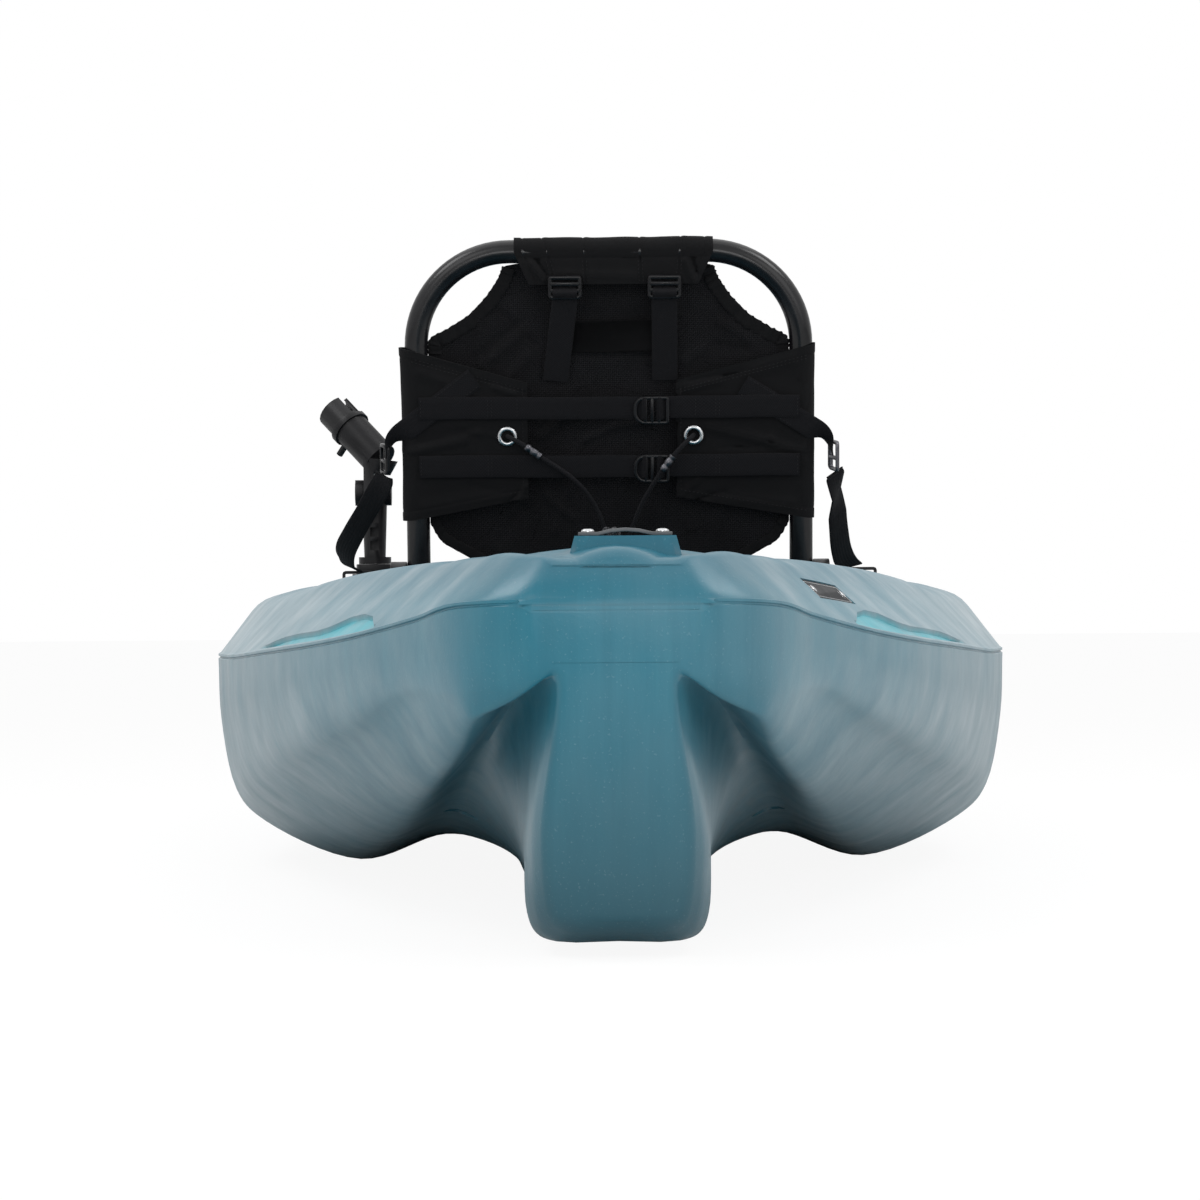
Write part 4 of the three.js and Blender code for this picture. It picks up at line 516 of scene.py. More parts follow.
hullSize = {"length": 3505, "beam": 889, "depth": 356}
halfLength, halfBeam, depth = hullSize["length"] / 2, hullSize["beam"] / 2, hullSize["depth"]
hullShape = {  # shares of half the length, half the beam and the depth
    "stations": [-1, -0.985, -0.965, -0.91, -0.77, -0.54, -0.28, 0, 0.3, 0.55, 0.75, 0.88, 0.96, 1],
    "keel": ([0.12, 0.15, 0.165, 0.172, 0.175, 0.178, 0.19, 0.2, 0.19, 0.15, 0.09, 0.04, 0.018, 0.008],
             [0.065, 0.034, 0.03, 0.028, 0.024, 0.012, 0, 0, 0, 0.02, 0.08, 0.18, 0.32, 0.5]),
    "flank": ([0.135, 0.16, 0.17, 0.178, 0.188, 0.203, 0.235, 0.255, 0.25, 0.2, 0.12, 0.06, 0.025, 0.012],
              [0.3, 0.28, 0.28, 0.26, 0.2, 0.12, 0.075, 0.06, 0.06, 0.085, 0.13, 0.24, 0.4, 0.58]),
    "tunnel": ([0.11, 0.13, 0.15, 0.19, 0.265, 0.337, 0.405, 0.414, 0.4, 0.3, 0.19, 0.1, 0.05, 0.02],
               [0.655, 0.645, 0.64, 0.59, 0.45, 0.267, 0.14, 0.084, 0.085, 0.14, 0.25, 0.38, 0.52, 0.66]),
    "ridge": ([0.125, 0.19, 0.268, 0.297, 0.373, 0.471, 0.583, 0.64, 0.62, 0.5, 0.34, 0.19, 0.09, 0.03],
              [0.665, 0.6, 0.55, 0.475, 0.355, 0.215, 0.09, 0, 0.005, 0.06, 0.16, 0.3, 0.45, 0.62]),
    "chine": ([0.15, 0.225, 0.29, 0.36, 0.487, 0.658, 0.815, 0.905, 0.875, 0.74, 0.54, 0.33, 0.16, 0.04],
              [0.7, 0.62, 0.6, 0.6, 0.5, 0.366, 0.25, 0.14, 0.14, 0.2, 0.31, 0.45, 0.6, 0.75]),
    "seam": ([0.17, 0.248, 0.302, 0.378, 0.558, 0.755, 0.905, 1, 0.965, 0.845, 0.655, 0.42, 0.22, 0.05],
             [0.823, 0.82, 0.815, 0.785, 0.73, 0.69, 0.662, 0.655, 0.66, 0.69, 0.745, 0.81, 0.87, 0.91]),
    "shoulder": ([0.13, 0.18, 0.21, 0.27, 0.398, 0.588, 0.775, 0.895, 0.865, 0.74, 0.55, 0.33, 0.15, 0.03],
                 [0.925, 0.932, 0.937, 0.923, 0.903, 0.874, 0.84, 0.829, 0.84, 0.87, 0.91, 0.95, 0.985, 1]),
    "lip": [0.07, 0.09, 0.11, 0.17, 0.31, 0.47, 0.57, 0.572, 0.572, 0.51, 0.34, 0.2, 0.1, 0.015],
    "sheer": [0.85, 0.92, 1, 1, 0.85, 0.52, 0, 0, 0, 0.25, 0.6, 0.85, 1, 1],
    "camber": [1, 1, 1, 1, 0.8, 0.4, 0.4, 0.4, 0.4, 0.4, 0.4, 0.3, 0.2, 0.1],
    "gunwale": 0.875, "sternDeck": 0.92978, "bowDeck": 0.98315, "crown": 9,
    "rail": 56, "swell": 3, "wallRun": 20, "fillet": 22, "lipDrop": 8, "endRun": 45,
    "cornerRadius": 120, "cornerDraw": 0.28, "taper": 120,
    "wells": [(-0.8217 * halfLength, -600), (-430, 0.5706 * halfLength),
              (0.6049 * halfLength, 0.8217 * halfLength)],
    "floors": [(-0.7589 * halfLength, 215), (-0.5991 * halfLength, 150), (200, 150), (260, 96),
               (0.5706 * halfLength, 96), (0.6049 * halfLength, 200)],
    "rakeHeights": [0, 0.04, 0.1, 0.3, 0.62, 0.82, 0.94, 1],
    "sternRake": [1, 1, 0.8, 0.47, 0.13, 0, 0.5, 0.75], "sternRun": 60,
    "bowRake": [1, 0.98, 0.96, 0.65, 0.32, 0.06, 0.01, 0], "bowRun": 260, "rakeFades": (-0.77, 0.75),
    "endRound": (8, 5),  # at the stern and the bow
    "groove": 2.2, "recessDepth": 4.5,
    # height of the moulded wave above the seam, stern to bow
    "wave": [(-1462, 0), (-1446, 9), (-1402, 24), (-1346, 32), (-1292, 31.5), (-1232, 22), (-1170, 18.5),
             (-1080, 19), (-980, 17), (-915, 12), (-870, 6), (-850, 0)],
    "waveFoot": 0.04, "keelEase": (20, 6, 21),  # in, up and up of the rounding at the keel's corners
}
stations = hullShape["stations"]
hullLine = {
    name: (tableCurve(stations, [v * halfBeam for v in hullShape[name][0]]),
           tableCurve(stations, [v * depth for v in hullShape[name][1]]))
    for name in ("keel", "flank", "tunnel", "ridge", "chine", "seam", "shoulder")
}
lipWidth = tableCurve(stations, [v * halfBeam for v in hullShape["lip"]])
camber = tableCurve(stations, [v * hullShape["crown"] for v in hullShape["camber"]])
gunwale = hullShape["gunwale"] * depth
deckRise = tableCurve(stations, [
    v * (hullShape["sternDeck" if place < 0 else "bowDeck"] * depth - gunwale)
    for v, place in zip(hullShape["sheer"], stations)
])
sternRake = tableCurve(hullShape["rakeHeights"], [v * hullShape["sternRun"] for v in hullShape["sternRake"]])
bowRake = tableCurve(hullShape["rakeHeights"], [v * hullShape["bowRun"] for v in hullShape["bowRake"]])
floorHeight = straightTable(hullShape["floors"])
waveHeight = straightTable(hullShape["wave"])


def linePoint(name, share):
    across, up = hullLine[name]
    return Vector((across(share), up(share)))


def splineThrough(stops, steps):  # centripetal Catmull-Rom, as the CAD hull's sections are drawn
    found = []
    for i in range(len(stops) - 1):
        p0 = stops[i - 1] if i else stops[0] * 2 - stops[1]
        p3 = stops[i + 2] if i + 2 < len(stops) else stops[-1] * 2 - stops[-2]
        p1, p2 = stops[i], stops[i + 1]
        d0, d1, d2 = (math.sqrt((b - a).length) or 1 for a, b in ((p0, p1), (p1, p2), (p2, p3)))
        first = ((p1 - p0) / d0 - (p2 - p0) / (d0 + d1) + (p2 - p1) / d1) * d1
        second = ((p2 - p1) / d1 - (p3 - p1) / (d1 + d2) + (p3 - p2) / d2) * d1
        for n in range(steps[i]):
            t = n / steps[i]
            found.append(p1 + first * t + (p1 * -3 + p2 * 3 - first * 2 - second) * t * t
                         + (p1 * 2 - p2 * 2 + first + second) * t ** 3)
    return found


def roundedLine(points, radii, steps, corner=3):  # straight runs with eased corners, always as many points
    cuts = []
    for i, point in enumerate(points):
        if radii[i] == 0:
            cuts.append((point, point))
            continue
        back, on = points[i - 1] - point, points[i + 1] - point
        reach = min(radii[i], 0.45 * back.length, 0.45 * on.length)
        cuts.append((point + back.normalized() * reach, point + on.normalized() * reach))
    found = []
    for i in range(len(points) - 1):
        start, end = cuts[i][1], cuts[i + 1][0]
        found += [start.lerp(end, n / steps[i]) for n in range(steps[i])]
        if radii[i + 1]:
            enter, leave = cuts[i + 1]
            for n in range(corner):
                t = n / corner
                found.append(enter.lerp(points[i + 1], t).lerp(points[i + 1].lerp(leave, t), t))
    found.append(points[-1])
    return found


def halfRing(y):  # section of the hull from the keel round to the middle of the deck, with the recess marked
    share = y / halfLength
    keel = linePoint("keel", share)
    flank = linePoint("flank", share)
    inward, ease, up = [v * min(1, keel.x / 60) for v in hullShape["keelEase"]]
    up = min(up, 0.45 * (flank.y - keel.y))
    stops = [Vector((0, keel.y)), keel + Vector((-inward, 0)),
             keel + Vector((-0.28 * inward, min(ease, 0.3 * up))), keel.lerp(flank, up / (flank.y - keel.y))]
    stops += [linePoint(name, share) for name in ("flank", "tunnel", "ridge", "chine")]
    chine, seam, shoulder = stops[-1], linePoint("seam", share), linePoint("shoulder", share)
    for out, up in ((0.54, 0.16), (0.93, 0.6)):
        stops.append(Vector((mix(chine.x, seam.x, out), mix(chine.y, seam.y, up))))
    stops.append(seam)
    section = splineThrough(stops, [3, 5, 5, 6, 8, 8, 8, 5, 5, 5])
    side = shoulder - seam
    out = Vector((side.y, -side.x)).normalized()
    slim = min(1, seam.x / 90)
    groove = hullShape["groove"] * slim
    last = section[-1]
    section.append(seam + (last - seam).normalized() * 3.2)
    section += [seam + Vector((-groove, -1.9)), seam + Vector((-groove, -0.9)), seam + Vector((-0.2, 0)),
                seam + Vector((-0.2, 2.2)), seam + side * 0.07 - out * 0.3 * slim]
    length = side.length
    low = hullShape["waveFoot"]
    wave = waveHeight(y)
    high = low + max(wave, 8) / length
    dip = hullShape["recessDepth"] * smooth(wave / 7)
    marks = {}
    for t, sunk in ((low, 0), (low + 1.6 / length, 1), (mix(low, high, 0.5), 1), (high - 2.4 / length, 1)):
        marks[len(section)] = sunk * smooth(wave / 7)
        section.append(seam + side * t - out * dip * sunk)
    start = seam + side * high
    width, opened = lipWidth(share), 0
    for stern, bow in hullShape["wells"]:
        inside = min(y - stern, bow - y)
        opened = max(opened, smooth(inside / hullShape["endRun"]))
        corner = max(0, 1 - abs(inside) / hullShape["cornerRadius"])
        width *= 1 - hullShape["cornerDraw"] * corner * corner
    height = gunwale + deckRise(share)
    rail = width + min(hullShape["rail"], (shoulder.x - width) * 0.5)
    thin = min(1, width / hullShape["taper"])
    wall, fillet = hullShape["wallRun"] * thin, hullShape["fillet"] * thin

    def closed(x):
        return height + camber(share) * (1 - (x / width) ** 2)

    def floor(x, rise):
        return Vector((x, mix(closed(x), floorHeight(y) + rise, opened)))

    foot = width - wall - fillet
    crown = Vector((mix(shoulder.x, rail, 0.5), mix(shoulder.y, height, 0.5) + hullShape["swell"] * thin))
    deck = [start, shoulder, crown, Vector((rail, height)), Vector((width, height)),
            Vector((width - wall / 4, mix(closed(width - wall / 4), height - hullShape["lipDrop"], opened))),
            floor(width - wall, fillet), floor(foot, 0), floor(foot / 2, 0), floor(0, 0)]
    section += roundedLine(deck, [0, 16, 26, 10, 8, 6, 16, 18, 0, 0], [4, 2, 2, 2, 1, 3, 1, 3, 3])
    return [Vector((max(0, p.x), max(0, p.y))) for p in section], marks


def insetRing(section, inset):
    found = []
    for i, point in enumerate(section):
        if i in (0, len(section) - 1):
            found.append(Vector((0, point.y + (inset if i == 0 else -inset))))
            continue
        along = section[i + 1] - section[i - 1]
        along = along.normalized() if along.length > 1e-6 else Vector((0, 1))
        found.append(Vector((max(0.4 * inset, point.x - along.y * inset), point.y + along.x * inset)))
    return found


def rakeAt(y, height):
    share = y / halfLength
    stern, bow = hullShape["rakeFades"]
    if share < stern:
        return smooth((stern - share) / (1 + stern)) * sternRake(height / depth)
    if share > bow:
        return -smooth((share - bow) / (1 - bow)) * bowRake(height / depth)
    return 0


ringSteps = {  # how far apart the hull's sections stand, and how far from an end or a well each step holds
    "tip": 1.2, "fine": 6, "near": 10, "plain": 18,
    "tipReach": 10, "endReach": 90, "wellFine": 60, "wellNear": 130,
    "waveTail": (-1470, -1420), "waveStern": -1250, "waveHead": (-880, -840),
}


def hullPlaces():
    ends = [end for well in hullShape["wells"] for end in well]
    tail, head = ringSteps["waveTail"], ringSteps["waveHead"]
    y, found = -halfLength, []
    while y < halfLength:
        found.append(y)
        toWell = min(abs(y - end) for end in ends)
        atEnd = abs(y) > halfLength - ringSteps["endReach"]
        if abs(y) > halfLength - ringSteps["tipReach"]:
            y += ringSteps["tip"]
        elif atEnd or toWell < ringSteps["wellFine"] or tail[0] < y < tail[1]:
            y += ringSteps["fine"]
        elif toWell < ringSteps["wellNear"] or y < ringSteps["waveStern"] or head[0] < y < head[1]:
            y += ringSteps["near"]
        else:
            y += ringSteps["plain"]
    return found + [halfLength]


def makeHull():
    places = hullPlaces()
    rings = []
    for y in places:
        section, marks = halfRing(y)
        for end, radius in zip((-halfLength, halfLength), hullShape["endRound"]):
            gap = abs(y - end)
            if gap < radius:
                section = insetRing(section, radius - math.sqrt(radius ** 2 - (radius - gap) ** 2))
        rings.append((section, marks))
    columns, rows = len(rings[0][0]) - 1, len(places) - 1
    bm = bmesh.new()
    recess = bm.verts.layers.float.new("recess")
    bmesh.ops.create_grid(bm, x_segments=columns, y_segments=rows, size=0.5)
    ends = {0: [], rows: []}
    for vert in bm.verts:
        i, j = round((vert.co.x + 0.5) * columns), round((vert.co.y + 0.5) * rows)
        section, marks = rings[j]
        point = section[i]
        vert[recess] = marks.get(i, 0)
        vert.co = (point.x, places[j] + rakeAt(places[j], point.y), point.y)
        if j in ends:
            ends[j].append(vert)
    for verts in ends.values():  # close the stern and the bow across to the middle
        kept = set(verts)
        rim = [e for e in bm.edges if e.verts[0] in kept and e.verts[1] in kept and e.is_boundary]
        made = bmesh.ops.extrude_edge_only(bm, edges=rim)
        for item in made["geom"]:
            if isinstance(item, bmesh.types.BMVert):
                item.co.x = 0
    bmesh.ops.remove_doubles(bm, verts=bm.verts, dist=1e-3)
    bmesh.ops.mirror(bm, geom=bm.verts[:] + bm.edges[:] + bm.faces[:], axis="X", merge_dist=1e-3)
    bmesh.ops.dissolve_degenerate(bm, edges=bm.edges, dist=1e-4)
    bmesh.ops.recalc_face_normals(bm, faces=bm.faces)
    return bm


def cutFrom(bm, cutters):  # takes the cutters out of a closed mesh
    meshes = []
    for n, source in enumerate((bm, cutters)):
        mesh = bpy.data.meshes.new(f"cutting{n}")
        source.to_mesh(mesh)
        source.free()
        meshes.append(mesh)
    body, tool = (bpy.data.objects.new(mesh.name, mesh) for mesh in meshes)
    for thing in (body, tool):
        bpy.context.scene.collection.objects.link(thing)
    cut = body.modifiers.new("cut", "BOOLEAN")
    cut.object, cut.operation, cut.solver = tool, "DIFFERENCE", "EXACT"
    bpy.context.view_layer.update()
    made = bpy.data.meshes.new_from_object(body.evaluated_get(bpy.context.evaluated_depsgraph_get()))
    found = bmesh.new()
    found.from_mesh(made)
    for thing in (body, tool):
        bpy.data.objects.remove(thing)
    for mesh in meshes + [made]:
        bpy.data.meshes.remove(mesh)
    return found


plateSpot = {"length": 146, "height": 25, "place": -0.8131 * halfLength, "down": 0.4, "depth": 3, "corner": 3}
plugPlace = 0.8502 * halfLength
holes = {"scuppers": (-0.5136 * halfLength, -330, 0.2739 * halfLength), "spread": 0.3375 * halfBeam,
         "scupperRadius": 17, "plugRadius": 13}
padPlaces = {"stern": (8, -0.9415 * halfLength), "bow": (0, 0.9358 * halfLength)}


def crownHeight(y):
    return gunwale + deckRise(y / halfLength) + camber(y / halfLength)


def quarterFrame():  # where the plate sits: along the hull, up the side, and out
    def at(y):
        share = y / halfLength
        seam, shoulder = linePoint("seam", share), linePoint("shoulder", share)
        point = shoulder.lerp(seam, plateSpot["down"])
        return Vector((point.x, y + rakeAt(y, point.y), point.y))

    middle, reach = plateSpot["place"], plateSpot["length"] / 2
    along = (at(middle + reach) - at(middle - reach)).normalized()
    share = middle / halfLength
    drop = linePoint("seam", share) - linePoint("shoulder", share)
    down = Vector((drop.x, 0, drop.y))
    down = (down - along * down.dot(along)).normalized()
    out = -along.cross(down)
    turn = Matrix((along, -down, out)).transposed().to_4x4()
    return Matrix.Translation(at(middle)) @ turn


def hullCutters():
    cutters = bmesh.new()

    def bore(place, radius, length):
        bmesh.ops.create_cone(cutters, cap_ends=True, segments=32, radius1=radius, radius2=radius,
                              depth=length, matrix=Matrix.Translation(place))

    for y in holes["scuppers"]:
        for x in (-holes["spread"], holes["spread"]):
            bore((x, y, 150), holes["scupperRadius"], 400)
    bore((0, plugPlace, crownHeight(plugPlace) + 3), holes["plugRadius"], 40)
    half = Vector((plateSpot["length"] / 2 + 0.3, plateSpot["height"] / 2 + 0.3, 0))
    pocket = roundedBlock(-half - Vector((0, 0, plateSpot["depth"])), half + Vector((0, 0, 9)), 1.2)
    bmesh.ops.transform(pocket, matrix=quarterFrame(), verts=pocket.verts)
    return joined(cutters, pocket)


hullMesh = cutFrom(makeHull(), hullCutters())
hullSkin = finishPiece("hullShell", hullMesh, hullPlastic, "kayak", "hull", ("hull",), 44)
print("hull shell", len(hullSkin.data.polygons), "faces")

mouldings = {
    "pad": (84, 62, 7, 12),  # width, length, rise and corner radius
    "flare": (1.12, 1.16),  # of the pad's foot, across and along
    "boss": (26, 3),  # radius and rise
    "footFlat": (175.0, 227.0, 500, 920, 205, 250, 226),  # low, high, aft, fore, face, back aft and back fore
}


def makeMouldings():
    width, length, rise, corner = mouldings["pad"]
    for name, (x, y) in padPlaces.items():
        top = crownHeight(y) + rise
        low, high = (x - width / 2, y - length / 2, top - 19), (x + width / 2, y + length / 2, top)
        pad = roundedBlock(low, high, 0.01, 1)
        for vert in pad.verts:
            if vert.co.z < top - 9:
                vert.co.x = x + (vert.co.x - x) * mouldings["flare"][0]
                vert.co.y = y + (vert.co.y - y) * mouldings["flare"][1]
        upright = [e for e in pad.edges if abs(e.verts[0].co.z - e.verts[1].co.z) > 5]
        bevelEdges(pad, upright, corner, 6, False)
        rim = [e for e in pad.edges if all(abs(v.co.z - top) < 0.2 for v in e.verts)
               and e.calc_face_angle(0) > 0.5]
        bevelEdges(pad, rim, 3, 3)
        finishPiece(name + "Pad", pad, hullPlastic, "kayak", "hull")
    radius, rise = mouldings["boss"]
    top = crownHeight(plugPlace) + rise
    profile = [(0, top - 14), (radius + 3, top - 14), (radius + 3, top - 4), (radius, top - 0.8),
               (radius - 1, top), (14, top), (13, top - 1), (13, top - 13.9), (0, top - 13.9)]
    finishPiece("drainBoss", turnedMesh(profile, (0, plugPlace, 0)), hullPlastic, "kayak", "hull")
    low, high, aft, fore, face, backAft, backFore = mouldings["footFlat"]
    for name, side in bothSides:
        flat = roundedBlock((face, aft, low), (backFore, fore, high), 0.01, 1)
        for vert in flat.verts:
            if vert.co.x > face + 1:
                vert.co.x = backAft if vert.co.y < (aft + fore) / 2 else backFore
        bevelEdges(flat, flat.edges[:], 2, 3)
        if side < 0:
            bmesh.ops.scale(flat, vec=(-1, 1, 1), verts=flat.verts)
            bmesh.ops.reverse_faces(flat, faces=flat.faces)
        finishPiece("footFlat" + name.title(), flat, hullPlastic, "kayak", "hull")


makeMouldings()
print("mouldings added")

# seat frame

halfSeat = 0.49944 * halfBeam  # from the middle to the outside of the back's legs
tubeRadius, seatGap = 12.7, 0.3
seatSizes = {
    "leg": halfSeat - tubeRadius, "railGap": 0.6, "hinge": (-262, 300), "front": 170,
    "baseCorner": 60, "backCorner": 102, "topTube": (384 - tubeRadius) / math.cos(seatLean),
    "hoop": 11, "hoopPlaces": (-190, 120), "hoopCorner": 40, "hoopLow": 150 + seatGap + 5 + 11,
    "overhang": 13,
}
railPlace = seatSizes["leg"] - 2 * tubeRadius - seatSizes["railGap"]
lean = Matrix.Translation((0, *seatSizes["hinge"])) @ Matrix.Rotation(seatLean, 4, "X")
topTube = seatSizes["topTube"]


def tubePiece(name, node, body, corners, bend, radius=tubeRadius, count=32, turned=None):
    path = bentPath(corners, *bend)
    finishPiece(name, sweep(path, ring(radius, count)), tubeCoat, body, "tube", (node,), turned=turned)


def makeFrames():
    back, height = seatSizes["hinge"][0] - seatSizes["overhang"], seatSizes["hinge"][1]
    corners = [(-railPlace, back, height), (-railPlace, seatSizes["front"], height),
               (railPlace, seatSizes["front"], height), (railPlace, back, height)]
    tubePiece("seatBaseFrame", "seat_base_frame", "seat_base", corners, (seatSizes["baseCorner"], 12))
    top, low = height - tubeRadius - seatGap, seatSizes["hoopLow"]
    for name, y in zip(("rear", "front"), seatSizes["hoopPlaces"]):
        corners = [(-railPlace, y, top), (-railPlace, y, low), (railPlace, y, low), (railPlace, y, top)]
        tubePiece("legHoop" + name.title(), "leg_hoop_" + name, "seat_base", corners,
                  (seatSizes["hoopCorner"], 10), seatSizes["hoop"])
    leg, foot = seatSizes["leg"], -seatSizes["overhang"]
    corners = [(-leg, 0, foot), (-leg, 0, topTube), (leg, 0, topTube), (leg, 0, foot)]
    tubePiece("seatBackFrame", "seat_back_frame", "seat_back", corners, (seatSizes["backCorner"], 20),
              count=40, turned=lean)


makeFrames()
print("seat frames made")

# cloth helpers


def creaseDepth(x, height, lines):  # furrows and ridges on short lines: from, to, depth and width
    depth = 0
    for x0, y0, x1, y1, rise, width in lines:
        runX, runY = x1 - x0, y1 - y0
        along = clamp(((x - x0) * runX + (height - y0) * runY) / (runX * runX + runY * runY), 0, 1)
        gap = (x - x0 - runX * along) ** 2 + (height - y0 - runY * along) ** 2
        if gap < 9 * width * width:
            depth += rise * math.exp(-gap / (width * width))
    return depth


def ripple(x, y, size, height, seed=0):  # soft unevenness of cloth
    return noise.noise(Vector((x / size, y / size, seed * 7.3))) * height


def thicken(bm, thickness):  # a second skin behind the first
    bmesh.ops.solidify(bm, geom=bm.faces[:], thickness=thickness)
    bmesh.ops.recalc_face_normals(bm, faces=bm.faces)
    return bm


def stitchRow(target, points, normal, pitch=4.5, length=2.7, width=0.75):
    # one row of sewn stitches along a line, each a small rounded bar
    points = [Vector(p) for p in points]
    total = pathLength(points)
    count = max(1, int(total / pitch))
    for n in range(count):
        reach = (n + 0.5) / count * total
        for a, b in zip(points, points[1:]):
            step = (b - a).length
            if reach <= step:
                break
            reach -= step
        along = (b - a).normalized()
        middle = a + along * min(reach, step)
        side = along.cross(normal).normalized()
        turn = Matrix((along, side, normal)).transposed().to_4x4()
        shape = Matrix.Translation(middle) @ turn @ Matrix.Diagonal((length, width, width, 1))
        bmesh.ops.create_icosphere(target, subdivisions=1, radius=0.5, matrix=shape)


def webStrap(points, acrosses, width, thickness, steps=6):  # a webbing ribbon that turns along its way
    path = smoothPath(points, steps)
    sides = []
    for i in range(len(path)):
        at = min(i / steps, len(points) - 1)
        low = min(int(at), len(points) - 2)
        sides.append(Vector(acrosses[low]).lerp(Vector(acrosses[low + 1]), at - low))
    return sweep(path, band(width, thickness), sides)


def roundedPlan(width, height, radii, steps=6):  # corners anticlockwise from the lower left
    w, h = width / 2, height / 2
    found = []
    for (x, y), radius, start in zip(((-w, -h), (w, -h), (w, h), (-w, h)), radii, (180, 270, 0, 90)):
        cx, cy = x - math.copysign(radius, x), y - math.copysign(radius, y)
        for n in range(steps + 1):
            angle = math.radians(start + 90 * n / steps)
            found.append((cx + radius * math.cos(angle), cy + radius * math.sin(angle)))
    return found


def buckleMesh(width, height, rim, thickness, radii, bars, upright):
    # a moulded frame lying in x and z with its bars; bars are places across the windows
    inset = rim / 2
    plan = roundedPlan(width - rim, height - rim, [max(1, r - inset) for r in radii])
    bm = sweep([(x, 0, z) for x, z in plan], band(thickness, rim, min(rim, thickness) * 0.35),
               [Vector((0, 1, 0))], closed=True)
    for place in bars:
        if upright:
            low = (place - rim / 2, -thickness / 2, -height / 2 + 1)
            high = (place + rim / 2, thickness / 2, height / 2 - 1)
        else:
            low = (-width / 2 + 1, -thickness / 2, place - rim / 2)
            high = (width / 2 - 1, thickness / 2, place + rim / 2)
        joined(bm, roundedBlock(low, high, rim * 0.28, 2))
    return bm


# seat mesh

meshSize = {
    "half": seatSizes["leg"] - tubeRadius - seatGap, "top": topTube - tubeRadius - seatGap, "thickness": 1.5,
    "outlineShares": [  # height and half width of the back's mesh
        (0.055, 0.61), (0.107, 0.76), (0.16, 0.93), (0.22, 1), (0.73, 1), (0.775, 0.99), (0.806, 0.89),
        (0.846, 0.774), (0.9, 0.678), (0.953, 0.611), (0.992, 0.583), (1, 0.5),
    ],
    "areaShare": 0.92,  # of its box that the cut-out cloth fills
    "creases": [  # across, up, across, up, depth, width in mm
        (-140, 304, -140, 252, 3.2, 3), (-120, 314, -79, 275, -3, 4), (-95, 288, -127, 262, 3, 5),
        (-127, 262, -136, 240, 2.4, 5), (-143, 262, -95, 300, -2.4, 6), (-110, 240, -88, 262, 2.4, 5),
        (-75, 174, -46, 197, 3, 4), (-46, 197, -8, 211, 3, 4), (-40, 151, -27, 171, 2.6, 3),
        (-27, 171, 5, 184, 2.6, 3), (5, 184, 44, 190, 2.6, 3), (83, 256, 108, 275, 3, 5),
        (108, 275, 150, 268, -2.6, 6), (120, 300, 150, 282, 2.4, 5), (-69, 109, -40, 83, 3, 4),
        (-60, 70, -44, 120, 2.4, 5), (30, 60, 48, 115, 2.2, 6), (-120, 60, -96, 96, -2.6, 6),
        (110, 50, 120, 92, 2.2, 7), (-40, 262, 46, 262, -1.8, 3), (-50, 320, 40, 322, 1.6, 6),
    ],
    "sag": 16, "front": seatSizes["front"] - tubeRadius - seatGap,
    "back": seatSizes["hinge"][0] + seatSizes["overhang"], "corner": 48,
}


def makeHems():  # gathered edges at the cut-away corners of the back's mesh
    half, top, outline = meshSize["half"], meshSize["top"], meshSize["outlineShares"]
    hems = []
    for name, side in bothSides:
        for part, stops, width in (("Upper", outline[4:11], 15), ("Lower", outline[:4], 11)):
            path = smoothPath([(side * out * half, 0, up * top) for up, out in stops], 8)
            inward, moved = [], []
            for i, point in enumerate(path):
                along = (path[min(i + 1, len(path) - 1)] - path[max(i - 1, 0)]).normalized()
                across = Vector((along.z, 0, -along.x)) * -side
                inward.append(across)
                fullness = 1.5 if side > 0 else 1
                gather = (math.sin(i * 1.9 + side) * 0.9 + math.sin(i * 0.77) * 0.8) * fullness
                moved.append(point + across * (width / 2 - 0.5) + Vector((0, gather * 0.8, 0)))
            swing = 0.07 if side < 0 else 0.13
            scales = [1 + swing * math.sin(i * 2.3 + side) for i in range(len(path))]
            hem = sweep(moved, band(width, 3.4), inward, scales=scales)
            hemName = f"meshHem{part}{name.title()}"
            hems.append(finishPiece(hemName, hem, seatCloth, "seat_back", "webbing", (), 60, lean))
    return hems


def makeBackMesh():
    half, top = meshSize["half"], meshSize["top"]
    edge = straightTable([(up * top, out * half) for up, out in meshSize["outlineShares"]])
    low = meshSize["outlineShares"][0][0] * top

    def place(u, v):
        s = mix(low, top, v)
        x = (2 * u - 1) * edge(s)
        hollow = 1.6 * (1 - (x / half) ** 2)
        return Vector((x, hollow - creaseDepth(x, s, meshSize["creases"]) + ripple(x, s, 60, 1.6), s))

    bm = gridMesh(150, 150, place, (2 * half, top - low))
    piece = finishPiece("seatBackMesh", thicken(bm, meshSize["thickness"]), seatMesh, "seat_back", "mesh",
                        ("seat_back_sling",), 60, lean)
    makeHems()


def makeBaseMesh():
    sag, back, front = meshSize["sag"], meshSize["back"], meshSize["front"]
    corner, baseHalf = meshSize["corner"], railPlace - tubeRadius - seatGap

    def hung(u, v):
        y = mix(back, front, v)
        near = max(0, y - (front - corner))
        wide = baseHalf - corner + math.sqrt(max(0, corner ** 2 - near ** 2))
        x = (2 * u - 1) * wide
        share = x / baseHalf
        dip = sag * (1 - share * share) * (0.7 + 0.3 * math.sin(math.pi * v))
        return Vector((x, y, seatSizes["hinge"][1] + 1 - dip + ripple(x, y, 70, 1.2, 2)))

    bm = gridMesh(90, 100, hung, (2 * baseHalf, front - back))
    base = finishPiece("seatBaseMesh", thicken(bm, meshSize["thickness"]), baseMesh, "seat_base", "mesh",
                       ("seat_base_sling",), 60)


makeBackMesh()
makeBaseMesh()
print("seat meshes made")

# flaps round the legs of the back

